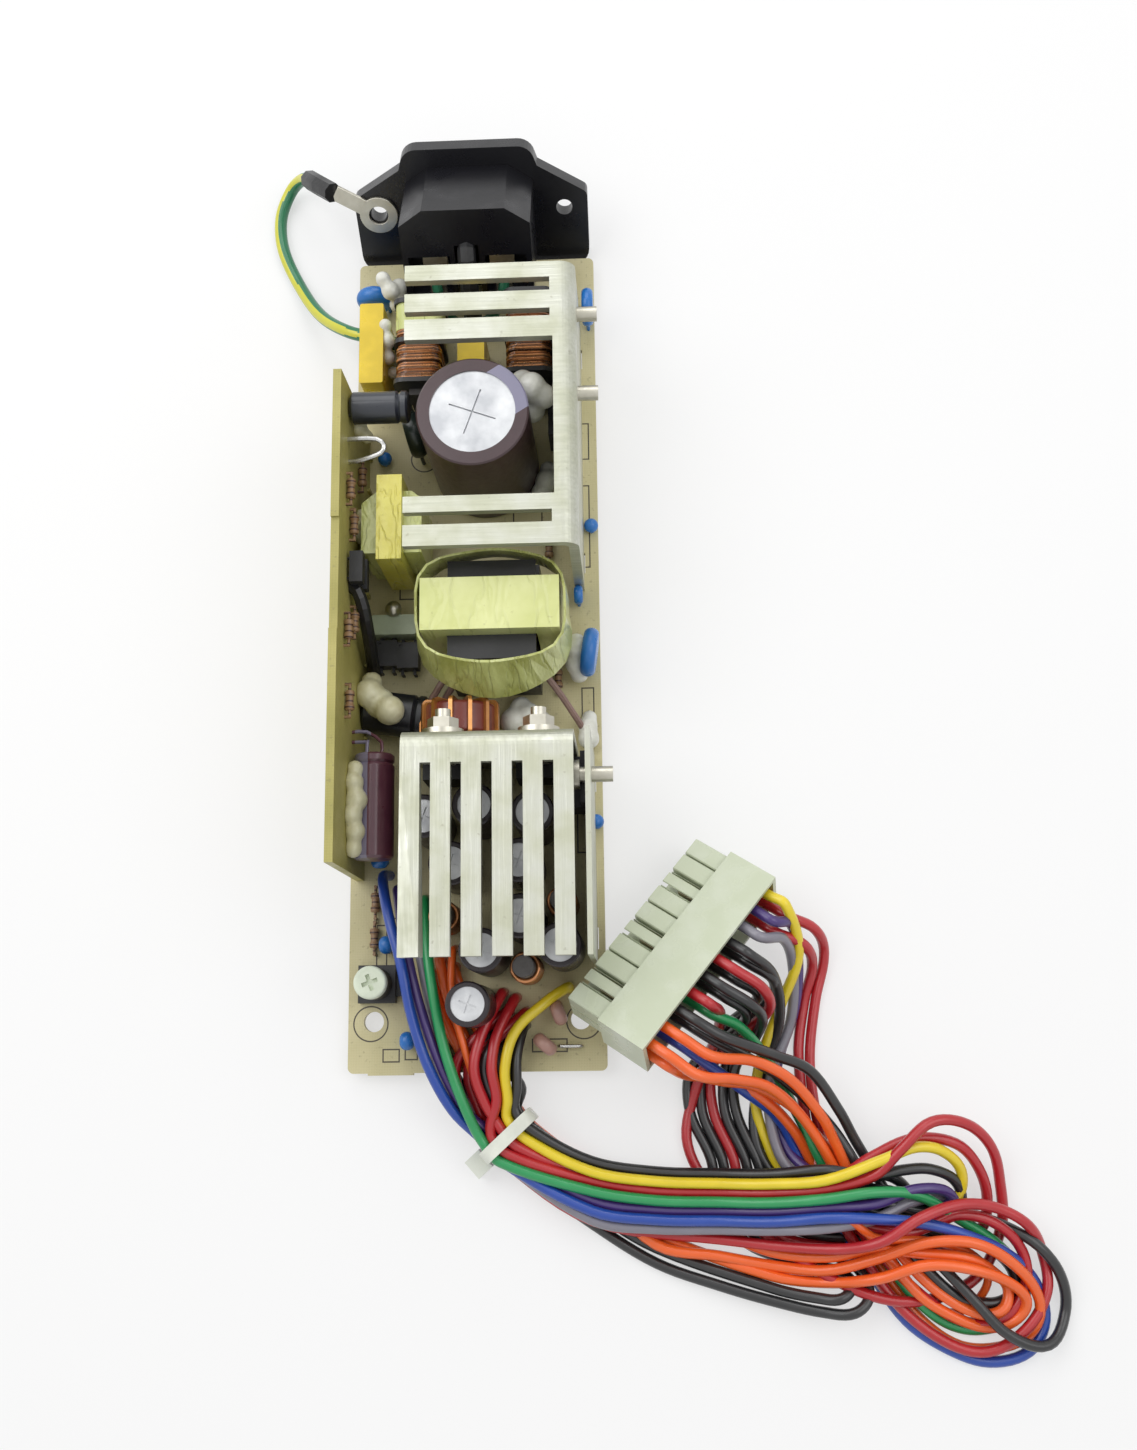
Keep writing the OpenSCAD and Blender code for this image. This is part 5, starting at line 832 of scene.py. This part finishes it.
earth_route = [on_board(*p) for p in smooth_route(earth_points, earth_steps)]
earth_skin, earth_faces = swept(earth_route, earth_d / 2000, earth_sides)
earth_mesh = bpy.data.meshes.new("earth_lead_striped")
earth_mesh.from_pydata([tuple(p) for p in earth_skin], [], earth_faces)
earth_mesh.materials.append(insulation("earth_green", (0.012, 0.17, 0.07)))
earth_mesh.materials.append(insulation("earth_yellow", (0.62, 0.60, 0.04)))
for face in earth_mesh.polygons:
    ring = face.index // earth_sides
    outward = (face.center - (earth_route[ring] + earth_route[ring + 1]) / 2).normalized()
    face.material_index = 1 if outward.dot(stripe_faces) > stripe_edge else 0
    face.use_smooth = True
earth_lead = set_out("earth_lead_striped", earth_mesh)
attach(earth_lead, "root")
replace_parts(earth_lead, "earth_lead")
give(black_shrink, "earth_sleeve")

# The terminal's outline and hole, filled, thickened with a fine bevel, and then laid on the flange.
ring_outline = [(ring_r * math.cos(a), ring_r * math.sin(a))
                for a in [math.radians(neck_angle + (360 - 2 * neck_angle) * k / 40) for k in range(41)]]
ring_outline += [(tongue_l, -tongue_w / 2), (tongue_l, tongue_w / 2)]
ring_hole = [(ring_hole_r * math.cos(math.tau * k / 32), ring_hole_r * math.sin(math.tau * k / 32))
             for k in range(32)]
blank = bpy.data.curves.new("ring_terminal", "CURVE")
blank.dimensions = "2D"
blank.fill_mode = "BOTH"
blank.extrude = ring_t / 2000 - ring_edge / 1000
blank.bevel_depth = ring_edge / 1000
for edge in (ring_outline, ring_hole):
    line = blank.splines.new("POLY")
    line.points.add(len(edge) - 1)
    line.use_cyclic_u = True
    for point, (x, y) in zip(line.points, edge):
        point.co = (x / 1000, y / 1000, 0, 1)
flat_ring = bpy.data.objects.new("ring_terminal", blank)
ring_mesh = bpy.data.meshes.new_from_object(flat_ring)
bpy.data.objects.remove(flat_ring)
on_flange = (Matrix.Translation(Vector((inlet_x, board_len + inlet_setback, table)))
             @ Matrix.Rotation(math.radians(90 - inlet_lean), 4, "X")
             @ Matrix.Translation(Vector((*ear_at, ring_gap)))
             @ Matrix.Rotation(math.radians(ring_turn), 4, "Z"))
for vertex in ring_mesh.vertices:
    x, y, z = vertex.co * 1000
    vertex.co = on_board(*(on_flange @ Vector((x, y, z + ring_t / 2))))
ring_mesh.materials.clear()
ring_mesh.materials.append(plated)
ring_terminal = set_out("ring_terminal", ring_mesh)
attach(ring_terminal, "root")
give(plated, "earth_terminal")
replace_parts(ring_terminal, "earth_terminal")
